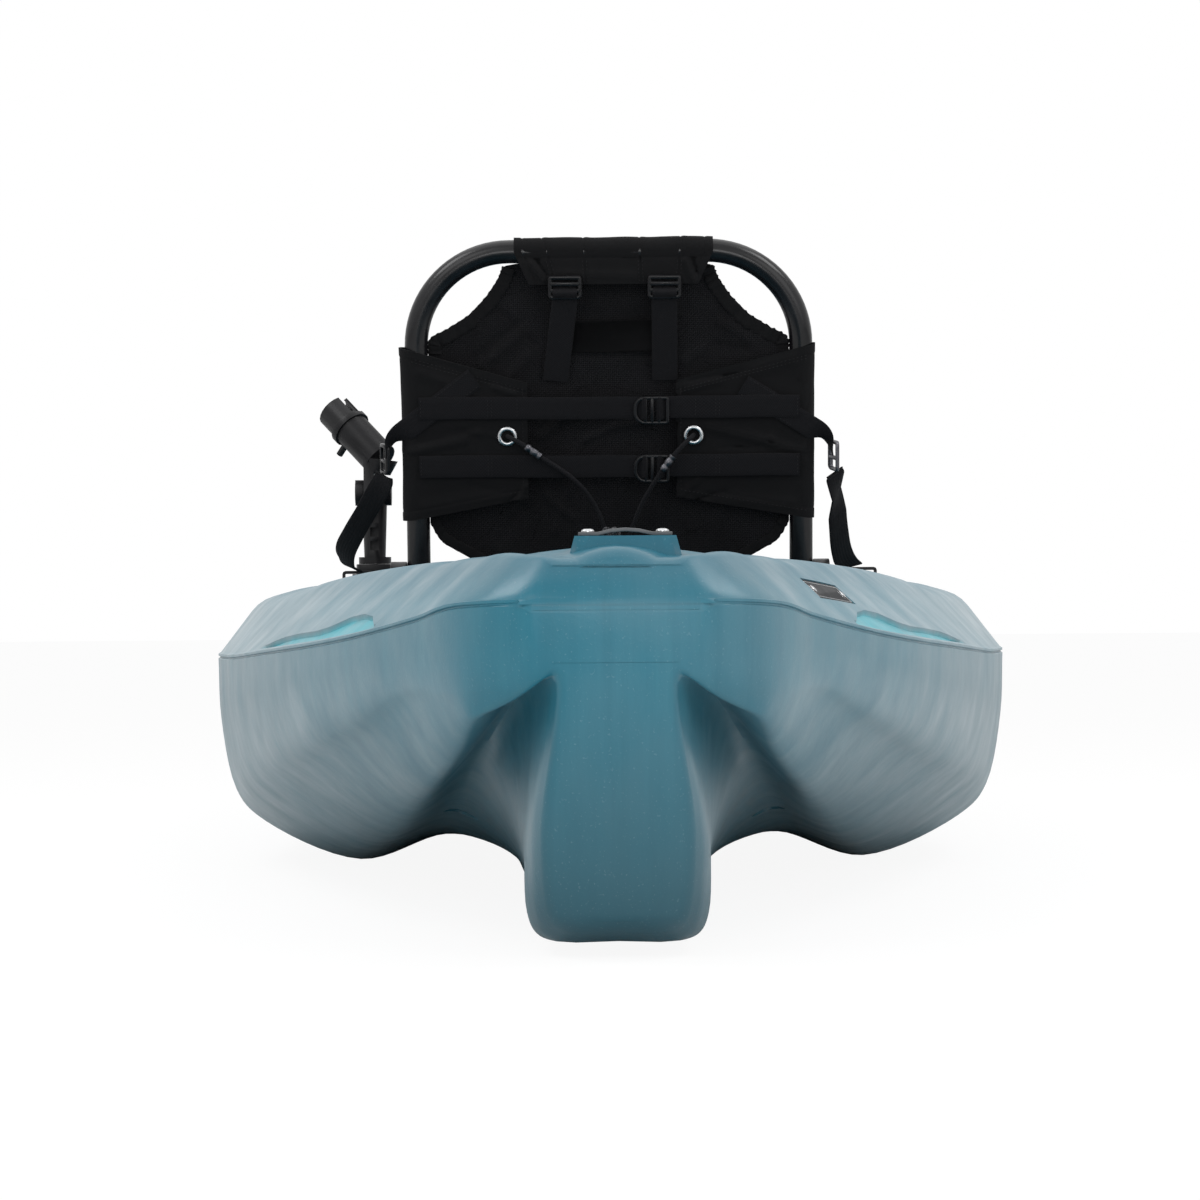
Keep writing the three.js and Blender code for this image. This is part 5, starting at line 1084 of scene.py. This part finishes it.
flapSizes = {
    "inner": {"port": 0.4009, "starboard": 0.3288}, "outer": (0.2181, 0.7263), "innerEdge": (0.2873, 0.6225),
    "tongue": 11, "round": tubeRadius + 0.4, "thickness": 2.0, "rear": tubeRadius + 2.8,
    "tall": 191, "weaveSpan": 190, "areaShare": {"port": 0.93, "starboard": 0.89},
    "grommet": {"port": -0.5, "starboard": 0.4144}, "grommetHeight": 0.468,
    "bulge": {"port": (1.4, 2.2), "starboard": (1.4, 0.9)},  # fullness round the leg, all over and at the top
    "slant": {"port": (146, 240, 229, 178), "starboard": (146, 230, 229, 178)},  # lines of the sewn-on straps
    "creases": {
        "port": [
            (-214, 160, -160, 172, 2.6, 5), (-206, 171, -150, 184, -2.2, 4), (-220, 150, -168, 154, 2.2, 4),
            (-150, 182, -118, 174, 2.2, 4), (-100, 106, -91, 122, 3, 3), (-112, 102, -97, 114, -2.4, 3),
            (-200, 100, -120, 112, 1.6, 7), (-205, 246, -150, 226, 1.8, 6), (-190, 258, -150, 243, -1.4, 5),
            (-126, 230, -104, 222, 2, 4), (-150, 122, -120, 116, -1.4, 5), (-135, 178, -112, 168, -1.6, 4),
        ],
        "starboard": [
            (78, 110, 96, 124, 3, 3), (94, 104, 124, 112, -2.4, 4), (108, 184, 176, 167, 2.6, 5),
            (176, 167, 216, 152, 2.4, 5), (112, 172, 170, 154, -0.5, 6), (150, 242, 200, 256, 1.8, 6),
            (120, 106, 200, 98, 1.6, 6), (84, 226, 120, 234, 2.2, 4), (90, 234, 150, 246, -1.6, 4),
            (120, 160, 190, 164, -0.7, 4),
        ],
    },
}
grommetHeight = flapSizes["grommetHeight"] * topTube
lumbarRises = {"Lower": -33, "Upper": 31}


def flapEdges(name, x):  # lower and upper edge of a flap at a place across
    inner = flapSizes["inner"][name] * halfSeat
    share = clamp((abs(x) - inner) / (seatSizes["leg"] + 15.5 - inner), 0, 1)
    return [mix(flapSizes["innerEdge"][i], flapSizes["outer"][i], share) * topTube for i in (0, 1)]


def rearFace(x, extra=0.0):  # depth of a flap's face behind the back's middle plane
    beyond = abs(x) - seatSizes["leg"]
    radius = flapSizes["rear"] + extra
    return -math.sqrt(max(0, radius ** 2 - beyond ** 2)) if beyond > 0 else -radius


def makeFlap(name, side):
    inner = flapSizes["inner"][name] * halfSeat
    leg, radius = seatSizes["leg"], flapSizes["round"]
    flat, arc = leg - inner, math.pi * radius
    total = flat + arc + flapSizes["tongue"]
    lines = flapSizes["creases"][name]

    def place(u, v):
        run = u * total
        if run < flat:
            x, y = inner + run, -radius
        elif run < flat + arc:
            angle = (run - flat) / radius - math.pi / 2
            x, y = leg + radius * math.cos(angle), radius * math.sin(angle)
        else:
            x, y = leg - (run - flat - arc), radius
        low, high = flapEdges(name, x)
        s = mix(low, high, v)
        pull = creaseDepth(side * x, s, lines) if y < 0 else 0
        press = 1 - creaseDepth(x, s, [(*flapSizes["slant"][name], 1, 9)])
        for rise in lumbarRises.values():
            press *= smooth((abs(s - grommetHeight - rise) - 11) / 6)
        pull *= clamp(press, 0, 1)
        edge = min(s - low, high - s)
        hem = -0.55 * math.exp(-((edge - 10) / 1.1) ** 2) + 0.5 * smooth((11 - edge) / 4)
        if run < flat:
            hem -= 0.4 * math.exp(-((run - 7) / 1.0) ** 2)
        settle = smooth(run / 20) * 0.8
        depth = 0.9 * (pull + hem) + ripple(x, s, 34, 1.2, side + 3) * settle * clamp(press, 0.2, 1)
        out = Vector((0, -1, 0)) if run < flat else Vector((x - leg, y, 0)).normalized()
        allOver, atTop = flapSizes["bulge"][name]
        full = (allOver + atTop * v ** 3) * clamp(out.x, 0, 1) ** 2
        return Vector((side * x, y, s)) + Vector((side * out.x, out.y, 0)) * (clamp(depth, -0.9, 2.4) + full)

    bm = gridMesh(110, 120, place, (total, flapSizes["weaveSpan"]))
    if side < 0:
        bmesh.ops.reverse_faces(bm, faces=bm.faces)
    thicken(bm, -flapSizes["thickness"])
    piece = finishPiece("flap" + name.title(), bm, seatCloth, "seat_back", "webbing",
                        ("seat_back_flap_" + name,), 60, lean)
    flat = (total * mm, flapSizes["tall"] * mm)


def makeFlapTrim():
    stitches = bmesh.new()
    for name, side in bothSides:
        inner = flapSizes["inner"][name] * halfSeat
        xs = [inner + 3 + n * 4 for n in range(int((seatSizes["leg"] + 8 - inner) / 4))]
        for edge, shift in ((0, 8.5), (1, -8.5), (1, -12)):
            points = [(side * x, rearFace(x, 0.1), flapEdges(name, x)[edge] + shift) for x in xs]
            stitchRow(stitches, points, Vector((0, -1, 0)))
        low, high = flapEdges(name, inner)
        stitchRow(stitches, [(side * (inner + 5), rearFace(inner, 0.1), low + 6),
                             (side * (inner + 5), rearFace(inner, 0.1), high - 6)], Vector((0, -1, 0)))
        # strap sewn on at a slant and led out to the side buckle
        x0, s0, x1, s1 = flapSizes["slant"][name]
        slope = (s1 - s0) / (x1 - x0)
        flat = (-slope, 0, 1)
        turned = [flat, flat, flat, flat, (0.5, -0.4, 0.7), (0.2, -0.9, 0.3), (0, -1, 0.05)]
        sewn = ((x0, -16.2), (178, -16.7), (205, -16.8), (219, -16.2))
        route = [(x, y, s0 + slope * (x - x0)) for x, y in sewn]
        route += [(x1, -12.5, s1), (237.5, -5, 168), (242.6, 0, 155)]
        strap = webStrap([(side * x, y, s) for x, y, s in route],
                         [(side * x, y, s) for x, y, s in turned], 24, 1)
        finishPiece("slantStrap" + name.title(), strap, webbing, "seat_back", "webbing", (), 50, lean)
        across = Vector((-slope, 1)).normalized()
        for edge in (-9.5, 9.5):
            points = [(side * (x + across.x * edge), -17.2, s0 + slope * (x - x0) + across.y * edge)
                      for x in (148, 165, 180, 204)]
            stitchRow(stitches, points, Vector((0, -1, 0)), 4)
    for name, rise in lumbarRises.items():
        for x in (-205, -132, -128, -100, 94, 116, 120, 205):
            low = grommetHeight + rise - 10
            stitchRow(stitches, [(x, -18.5, low), (x, -18.5, low + 20)], Vector((0, -1, 0)), 3.6)
    finishPiece("seatStitches", stitches, thread, "seat_back", "webbing", (), 60, lean)


for flapName, flapSide in bothSides:
    makeFlap(flapName, flapSide)
makeFlapTrim()
print("flaps made")

# sleeve on the top tube

sleeveSizes = {
    "ends": (-0.4595, 0.5135), "drop": 34.9, "front": 12, "taper": 16, "round": tubeRadius + 0.4,
    "thickness": 2.0,
    "seams": [(-72, -57), (-27, -24), (34, 36), (79, 76)],  # across at the top and at the tail
    "creases": [(-84, 362, -70, 346, 2.4, 3), (-78, 368, -66, 350, -1.8, 3), (84, 364, 92, 344, 2.2, 3),
                (92, 366, 98, 350, -1.6, 3), (-60, 352, 30, 349, 1.1, 4), (-96, 369, 106, 369, -0.8, 2.4)],
}


def makeSleeve():
    radius = sleeveSizes["round"]
    arc = math.pi * radius
    total = sleeveSizes["drop"] + arc + sleeveSizes["front"]
    left, right = (share * halfSeat for share in sleeveSizes["ends"])

    def place(u, v):
        run = v * total
        if run < sleeveSizes["drop"]:
            y, s, out = -radius, topTube - sleeveSizes["drop"] + run, Vector((0, -1, 0))
        elif run < sleeveSizes["drop"] + arc:
            angle = (run - sleeveSizes["drop"]) / radius
            out = Vector((0, -math.cos(angle), math.sin(angle)))
            y, s = radius * out.y, topTube + radius * out.z
        else:
            y, s, out = radius, topTube - (run - sleeveSizes["drop"] - arc), Vector((0, 1, 0))
        draw = sleeveSizes["taper"] * clamp((topTube - s) / sleeveSizes["drop"], 0, 1)
        x = mix(left + draw, right - draw, u)
        depth = creaseDepth(x, s, sleeveSizes["creases"]) if run < sleeveSizes["drop"] + 8 else 0
        for high, low in sleeveSizes["seams"]:
            seam = mix(low, high, clamp(run / (sleeveSizes["drop"] + 0.5 * arc), 0, 1))
            depth -= 0.8 * math.exp(-((x - seam) / 0.9) ** 2)
            depth += 0.35 * math.exp(-((x - seam - 4) / 3) ** 2)
        side = min(x - left - draw, right - draw - x)
        depth += 0.45 * smooth((9 - side) / 3) - 0.5 * math.exp(-((side - 9) / 1.0) ** 2)
        depth += ripple(x, s + y, 30, 1.1, 5)
        return Vector((x, y, s)) + out * clamp(depth, -0.9, 2.3)

    bm = gridMesh(200, 60, place, (right - left, total))
    thicken(bm, -sleeveSizes["thickness"])
    piece = finishPiece("topSleeve", bm, seatCloth, "seat_back", "webbing", ("seat_back_sleeve",), 60, lean)
    stitches = bmesh.new()
    for high, low in sleeveSizes["seams"]:
        for shift in (-2.2, 2.2):
            ends = [(low + shift, -radius - 1.2, topTube - 33),
                    (mix(low, high, 0.55) + shift, -radius - 1.4, topTube - 8)]
            stitchRow(stitches, ends, Vector((0, -1, 0)), 4)
    finishPiece("sleeveStitches", stitches, thread, "seat_back", "webbing", (), 60, lean)


makeSleeve()

# upright and level straps with their buckles

strapSizes = {
    "thickness": 2.0, "riserWidth": 28, "riserFoot": 0.6252, "riserDrop": 50.9,
    "risers": {"port": (-0.2613, -0.2117), "starboard": (0.2748, 0.2748)}, "riserBuckle": (37, 26),
    "webWidth": 24.5, "reach": 207, "buckle": 0.2072, "buckleDrop": 3, "buckleSize": (39, 31),
    "band": (88, 34), "bandPlace": (4, 283),  # cloth between the uprights, and the place of its middle
}


def makeRisers():
    low, high = strapSizes["riserFoot"] * topTube, topTube - strapSizes["riserDrop"]
    width, height = strapSizes["riserBuckle"]
    for name, shares in strapSizes["risers"].items():
        foot, head = (share * halfSeat for share in shares)
        route = [(foot, -3.9, low), (mix(foot, head, 0.35), -7.6, mix(low, high, 0.35)),
                 (mix(foot, head, 0.75), -12.8, mix(low, high, 0.75)), (head, -16.4, high),
                 (head, -17.6, high + 5)]
        strap = webStrap(route, [(1, 0, 0)] * len(route), strapSizes["riserWidth"], strapSizes["thickness"])
        bends = ((-19.5, 2), (-22.6, 5), (-22.9, 8.5), (-19.4, 11.5), (-16.6, 12.5), (-15.8, 17))
        loop = [(head, y, high + rise) for y, rise in bends]
        joined(strap, webStrap(loop, [(1, 0, 0)] * len(loop), strapSizes["riserWidth"] - 1.5, 1.8))
        finishPiece("riserStrap" + name.title(), strap, webbing, "seat_back", "webbing",
                    ("riser_strap_" + name,), 50, lean)
        buckle = buckleMesh(width, height, 4.6, 5, [5, 5, 4, 4], [-3.5, 3.8], False)
        bmesh.ops.translate(buckle, vec=(head, -18.6, high + 0.3 + height / 2), verts=buckle.verts)
        finishPiece("riserBuckle" + name.title(), buckle, glossBlack, "seat_back", "black_plastic",
                    ("riser_buckle_" + name,), 40, lean)
    across, up = strapSizes["bandPlace"]
    bm = bmesh.new()
    plan = roundedPlan(*strapSizes["band"], [2, 2, 2, 2], 3)
    bm.faces.new([bm.verts.new((x + across, -3.2, z + up)) for x, z in plan])
    finishPiece("backBand", thicken(bm, 1.0), seatCloth, "seat_back", "webbing", (), 40, lean)


def makeLumbarStraps():
    middle = strapSizes["buckle"] * halfSeat
    width, height = strapSizes["buckleSize"]
    for name, rise in lumbarRises.items():
        s = grommetHeight + rise
        reach, side = strapSizes["reach"], strapSizes["webWidth"]

        def run(stops):
            route = [(x, y, s + dip) for x, y, dip in stops]
            return webStrap(route, [(0, 0, 1)] * len(route), side, 1.4, 5)

        strap = run([(-reach, -17.7, 0), (-160, -17.9, 0.6), (-92, -17.6, 0), (-40, -16.6, -0.8),
                     (10, -17, -0.5), (middle - 14, -19.4, -1), (middle - 8, -23.6, -1),
                     (middle - 5, -21.5, -1)])
        joined(strap, run([(middle + 6, -21.5, -1), (middle + 9.5, -23.4, -1), (middle + 15, -19.6, -0.6),
                           (middle + 26, -17.6, 0), (130, -17.9, 0), (170, -17.9, 0.5), (reach, -17.7, 0)]))
        lower = name.lower()
        finishPiece("lumbarStrap" + name, strap, webbing, "seat_back", "webbing",
                    ("lumbar_strap_" + lower,), 50, lean)
        buckle = buckleMesh(width, height, 3.8, 4.6, [13, 4, 4, 13], [-6.5, 0.8, 8.5], True)
        bmesh.ops.translate(buckle, vec=(middle, -20.9, s - strapSizes["buckleDrop"]), verts=buckle.verts)
        finishPiece("lumbarBuckle" + name, buckle, glossBlack, "seat_back", "black_plastic",
                    ("lumbar_buckle_" + lower,), 40, lean)


def makeGrommets():
    profile = [(6.2, -5), (5.9, 0), (6.4, 1.6), (7.6, 2.5), (9.4, 2.3), (10.7, 1.3), (11, 0.1), (10, 0),
               (8, -0.6), (8, -5), (6.2, -5)]
    for name, share in flapSizes["grommet"].items():
        x = share * halfSeat
        ringMesh = turnedMesh(profile, (x, -15.9, grommetHeight), (0, -1, 0), 40)
        finishPiece("grommet" + name.title(), ringMesh, brightSteel, "seat_back", "steel",
                    ("grommet_" + name,), 50, lean)


sideBuckleSizes = {
    "width": 24, "height": 34, "rim": 4.4, "thickness": 4.6, "bar": -2, "place": 245.6, "up": 0.39905,
    "bow": 2.2, "askew": 20,  # how far its middle stands out, and its turn in degrees
}


def makeSideBuckles():
    sizes = sideBuckleSizes
    quarter, askew = (Matrix.Rotation(math.radians(angle), 3, "Z") for angle in (90, sizes["askew"]))
    for name, side in bothSides:
        buckle = buckleMesh(sizes["width"], sizes["height"], sizes["rim"], sizes["thickness"], [6, 6, 6, 6],
                            [sizes["bar"]], False)
        bmesh.ops.rotate(buckle, cent=(0, 0, 0), matrix=quarter, verts=buckle.verts)
        for vert in buckle.verts:
            vert.co.x += sizes["bow"] * (1 - (vert.co.y / 12) ** 2) - 1
            vert.co.x *= side
        if side < 0:
            bmesh.ops.reverse_faces(buckle, faces=buckle.faces)
        bmesh.ops.rotate(buckle, cent=(0, 0, 0), matrix=askew, verts=buckle.verts)
        bmesh.ops.translate(buckle, vec=(side * sizes["place"], 0, sizes["up"] * topTube), verts=buckle.verts)
        finish = glossBlack if side < 0 else darkSteel
        finishPiece("sideBuckle" + name.title(), buckle, finish, "seat_back", "black_plastic",
                    ("side_buckle_" + name,), 40, lean)


makeRisers()
makeLumbarStraps()
makeGrommets()
makeSideBuckles()
print("straps and buckles made")

# lumbar cord and its crimps

cordSizes = {
    "diameter": 5, "crimpSpans": ((3, 4), (20, 21)),
    "route": [  # across, behind and up from the hinge, as in the CAD part
        (-111, -8, 171), (-111, -15, 171), (-107, -22, 170), (-92, -25, 162), (-74, -25, 149.5),
        (-60, -24, 140.5), (-46, -22.5, 131), (-36, -21, 122.5), (-27, -19.5, 113), (-20, -17.5, 103),
        (-14, -15.5, 92.5), (-6, -12, 73), (1, -8, 56), (5.5, -5.2, 44), (9.5, -4.8, 38.5),
        (13.5, -5.2, 44), (18, -8, 56), (25, -12.5, 73), (34, -18.5, 96), (47, -26.5, 119.5),
        (58, -29.5, 136), (69, -29.5, 150), (79, -28, 160.5), (88, -23, 168.5), (92, -15, 171), (92, -8, 171),
    ],
}


def makeLumbarCord():
    wide = flapSizes["grommet"]["starboard"] * halfSeat / cordSizes["route"][-1][0]
    tall = grommetHeight / cordSizes["route"][-1][2]
    route = [Vector((x * wide, y, s * tall)) for x, y, s in cordSizes["route"]]
    path = smoothPath(route, 5)
    cord = finishPiece("lumbarCord", sweep(path, ring(cordSizes["diameter"] / 2, 14)), cordBraid, "seat_back",
                       "webbing", ("lumbar_cord",), 60, lean)
    crimps = bmesh.new()
    for start, end in cordSizes["crimpSpans"]:
        profile = [(2.6, 0), (3.9, 0.3), (4.5, 1.2), (4.5, 5), (3.9, 6), (3.9, 7.5), (4.5, 8.5), (4.5, 14),
                   (3.9, 15), (3.9, 16.4), (4.5, 17.4), (4.4, 19.6), (2.6, 20), (2.6, 0)]
        along = (route[end] - route[start]).normalized()
        middle = (route[end] + route[start]) / 2
        joined(crimps, turnedMesh(profile, middle - along * 10, along, 24))
    crimpPiece = finishPiece("cordCrimps", crimps, darkSteel, "seat_back", "steel", (), 40, lean)
    placed = [lean @ p * mm for p in path]
    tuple(placed[0])
    pathLength(placed)


makeLumbarCord()
print("lumbar cord laid")

# side straps from the back's buckles down to the deck

sideStrapSizes = {
    "width": 25, "thickness": 2.2, "low": 328.5, "high": 425,
    "bend": (4, 1),  # points of the route between which it would bend when the back folds; they are read, but nothing bends the strap
    "port": {
        "route": [(247, -281), (256, -260), (268, -226), (284, -182), (296, -138), (296, -102), (286, -82)],
        "ups": [1, 0.8549, 0.6684, 0.4301, 0.2228, 0.0777, 0], "twist": [0.5, 0.62, 0.8, 0.7, 0.45, 0.2, 0.1],
    },
    "starboard": {
        "route": [(247, -281), (249, -262), (251, -238), (254, -208), (258, -172), (264, -132), (274, -83.3)],
        "ups": [1, 0.81, 0.58, 0.36, 0.19, 0.07, 0], "twist": [0.5, 0.25, 0.47, 0.45, 0.4, 0.38, 0.44],
    },
}


def makeSideStraps():
    for name, side in bothSides:
        shape = sideStrapSizes[name]
        route = [(side * x, y, mix(sideStrapSizes["low"], sideStrapSizes["high"], up))
                 for (x, y), up in zip(shape["route"], shape["ups"])]
        route.insert(0, (side * 246, -285, sideStrapSizes["high"] + 5))
        turns = [(side * share, 1 - share, 0) for share in shape["twist"][:1] + shape["twist"]]
        strap = webStrap(route, turns, sideStrapSizes["width"], sideStrapSizes["thickness"], 8)
        piece = finishPiece("sideStrap" + name.title(), strap, webbing, None, "webbing",
                            ("side_strap_" + name,), 50)
        ends = [tuple(value * mm for value in route[at]) for at in sideStrapSizes["bend"]]
        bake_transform(piece)  # its place baked into the mesh


makeSideStraps()

# handles, screws and the stern cord's knot


def makeDeckParts():
    for end, (x, y) in padPlaces.items():
        softCopy(end + "_handle", greyStrap, "strap_grey", "kayak", 0.7)
        top = crownHeight(y) + mouldings["pad"][2] + 3 + 0.6
        for name, side in bothSides:
            profile = [(0, 0.9), (1.6, 0.9), (1.9, 2.3), (2.8, 2.5), (4.6, 1.7), (5.5, 0.7), (5.5, 0),
                       (2.5, 0), (2.5, -11), (0, -11)]
            screw = turnedMesh(profile, (x + side * 31, y, top), (0, 0, 1), 28)
            finishPiece(f"{end}Screw{name.title()}", screw, brightSteel, "kayak", "steel",
                        (f"{end}_handle_screw_{name}",), 40)


knotSizes = {"cord": 2.4, "lobe": 2.05, "rise": 3.9, "place": (-11, 41), "half": 8.5, "tail": (8, 16, 32)}


def makeKnot():  # a trefoil of cord on the stern deck with its tail down through the skin
    x, y = (pad + shift for pad, shift in zip(padPlaces["stern"], knotSizes["place"]))
    z = crownHeight(y) + seatGap + knotSizes["half"]
    lobe, rise, section = knotSizes["lobe"], knotSizes["rise"], ring(knotSizes["cord"], 14)
    loop = []
    for t in (2 * math.pi * n / 60 for n in range(60)):
        loop.append(Vector((x + lobe * (math.sin(t) + 2 * math.sin(2 * t)),
                            y + lobe * (math.cos(t) - 2 * math.cos(2 * t)), z - rise * math.sin(3 * t))))
    knot = sweep(loop, section, closed=True)
    first, second, last = (z - drop for drop in knotSizes["tail"])
    joined(knot, sweep([(x, y, z), (x + 0.4, y, first), (x, y, second), (x, y, last)], section))
    finishPiece("deckKnot", knot, knotBraid, "kayak", "webbing", ("deck_cord",), 60)


makeDeckParts()
makeKnot()


def makePlateTrim():  # pale border line and two rivets of the plate; its face is left bare
    width, height = plateSpot["length"] - 7, plateSpot["height"] - 6
    face = -plateSpot["depth"] + seatGap + 1.6
    plan = roundedPlan(width, height, [2, 2, 2, 2], 4)
    line = sweep([(x, z, face + 0.05) for x, z in plan], band(0.9, 0.35), [Vector((0, 0, 1))], closed=True)
    finishPiece("plateBorder", line, paleLine, "kayak", "strap_grey", (), 40, quarterFrame())
    rivets = bmesh.new()
    for side in (-1, 1):
        profile = [(0, 1.7), (2, 1.6), (3.8, 1.1), (4.8, 0.4), (5.1, -0.2), (0, -0.2)]
        joined(rivets, turnedMesh(profile, (side * 60, 0, face + 0.1), (0, 0, 1), 28))
    finishPiece("plateRivets", rivets, brightSteel, "kayak", "steel", (), 40, quarterFrame())


makePlateTrim()
print("deck fittings made")

# remaining CAD nodes with eased edges and their own materials

plainCopies = [
    ("id_plate", plateFace, "black_plastic", "kayak", 0.3),
    ("drain_plug", blackPlastic, "black_plastic", "drain_plug", 0.7),
]
for base, body, bevel in (("gear_track_", "kayak", 0.5), ("strap_anchor_", "kayak", 0.7),
                          ("foot_rail_", "kayak", 0.6), ("foot_peg_", "foot_peg_", 0.8)):
    for side, _ in bothSides:
        carrier = body + side if body == base else body
        plainCopies.append((base + side, blackPlastic, "black_plastic", carrier, bevel))
for end in ("rear", "front"):
    plainCopies += [(f"seat_foot_{end}_{side}", rubber, "rubber", "seat_base", 0.8) for side, _ in bothSides]
for side, _ in bothSides:
    plainCopies.append(("hinge_bolt_" + side, blackPlastic, "black_plastic", "seat_base", 1.2))
for part, bevel in (("base", 1), ("post", 0.7), ("head", 0.7), ("knob", 0.7)):
    plainCopies.append(("rod_holder_" + part, blackPlastic, "black_plastic", "rod_holder_" + part, bevel))
for node, material, slotName, body, bevel in plainCopies:
    softCopy(node, material, slotName, body, bevel)
print("hard parts eased")

studio = {
    "world": 0.48, "floor": (0.86, 0.86, 0.86), "key": 46, "fill": 34, "low": 48, "side": 24, "top": 44,
    "glow": 1.04, "glowShare": 0.88,  # of the floor as the camera sees it
}


def makeStudio():
    bm = bmesh.new()
    bmesh.ops.create_grid(bm, x_segments=1, y_segments=1, size=30)
    floorMesh = bpy.data.meshes.new("studioFloor")
    bm.to_mesh(floorMesh)
    bm.free()
    floor = bpy.data.objects.new("studioFloor", floorMesh)
    floor.location.z = -0.0005
    bpy.context.scene.collection.objects.link(floor)
    material, tree, shader = newMaterial("floorPaper", studio["floor"], 0.9)
    seen = addNode(tree, "LightPath")
    glow = addNode(tree, "Emission", {"Color": (1, 1, 1, 1), "Strength": studio["glow"]})
    share = calc(tree, "MULTIPLY", calc(tree, "MAXIMUM", seen.outputs["Is Camera Ray"],
                                        seen.outputs["Is Transmission Ray"]), studio["glowShare"])
    blend = addNode(tree, "MixShader", {0: share, 1: shader.outputs[0], 2: glow.outputs[0]})
    tree.links.new(blend.outputs[0], tree.nodes["Material Output"].inputs["Surface"])
    floorMesh.materials.append(material)
    world = bpy.data.worlds.new("studioWorld")
    bpy.context.scene.world = world
    world.use_nodes = True
    tree = world.node_tree
    seen = addNode(tree, "LightPath")
    shown = calc(tree, "MAXIMUM", seen.outputs["Is Camera Ray"], seen.outputs["Is Glossy Ray"])
    shown = calc(tree, "MAXIMUM", shown, seen.outputs["Is Transmission Ray"])
    background = tree.nodes["Background"]
    background.inputs["Color"].default_value = (1, 1, 1, 1)
    tree.links.new(ranged(tree, shown, 0, 1, studio["world"], 1), background.inputs["Strength"])
    for name, place, size, power in (
        ("lowLight", (0.1, -5.9, 0.2), 1.6, studio["low"]),
        ("portLight", (-1.9, -0.9, 2.7), 1.2, studio["side"]),
        ("starboardLight", (1.9, -0.9, 2.7), 1.2, studio["side"]),
        ("keyLight", (-2.6, -5.2, 3.4), 3.0, studio["key"]),
        ("fillLight", (3.2, -4.6, 2.0), 3.0, studio["fill"]),
        ("topLight", (0, 0.4, 4.2), 4.5, studio["top"]),
    ):
        data = bpy.data.lights.new(name, "AREA")
        data.energy, data.size = power, size
        lamp = bpy.data.objects.new(name, data)
        bpy.context.scene.collection.objects.link(lamp)
        lamp.location = place
        lamp.rotation_euler = (Vector((0, 0, 0.3)) - Vector(place)).to_track_quat("-Z", "Y").to_euler()
    bpy.context.scene.view_settings.view_transform = "Standard"


makeStudio()
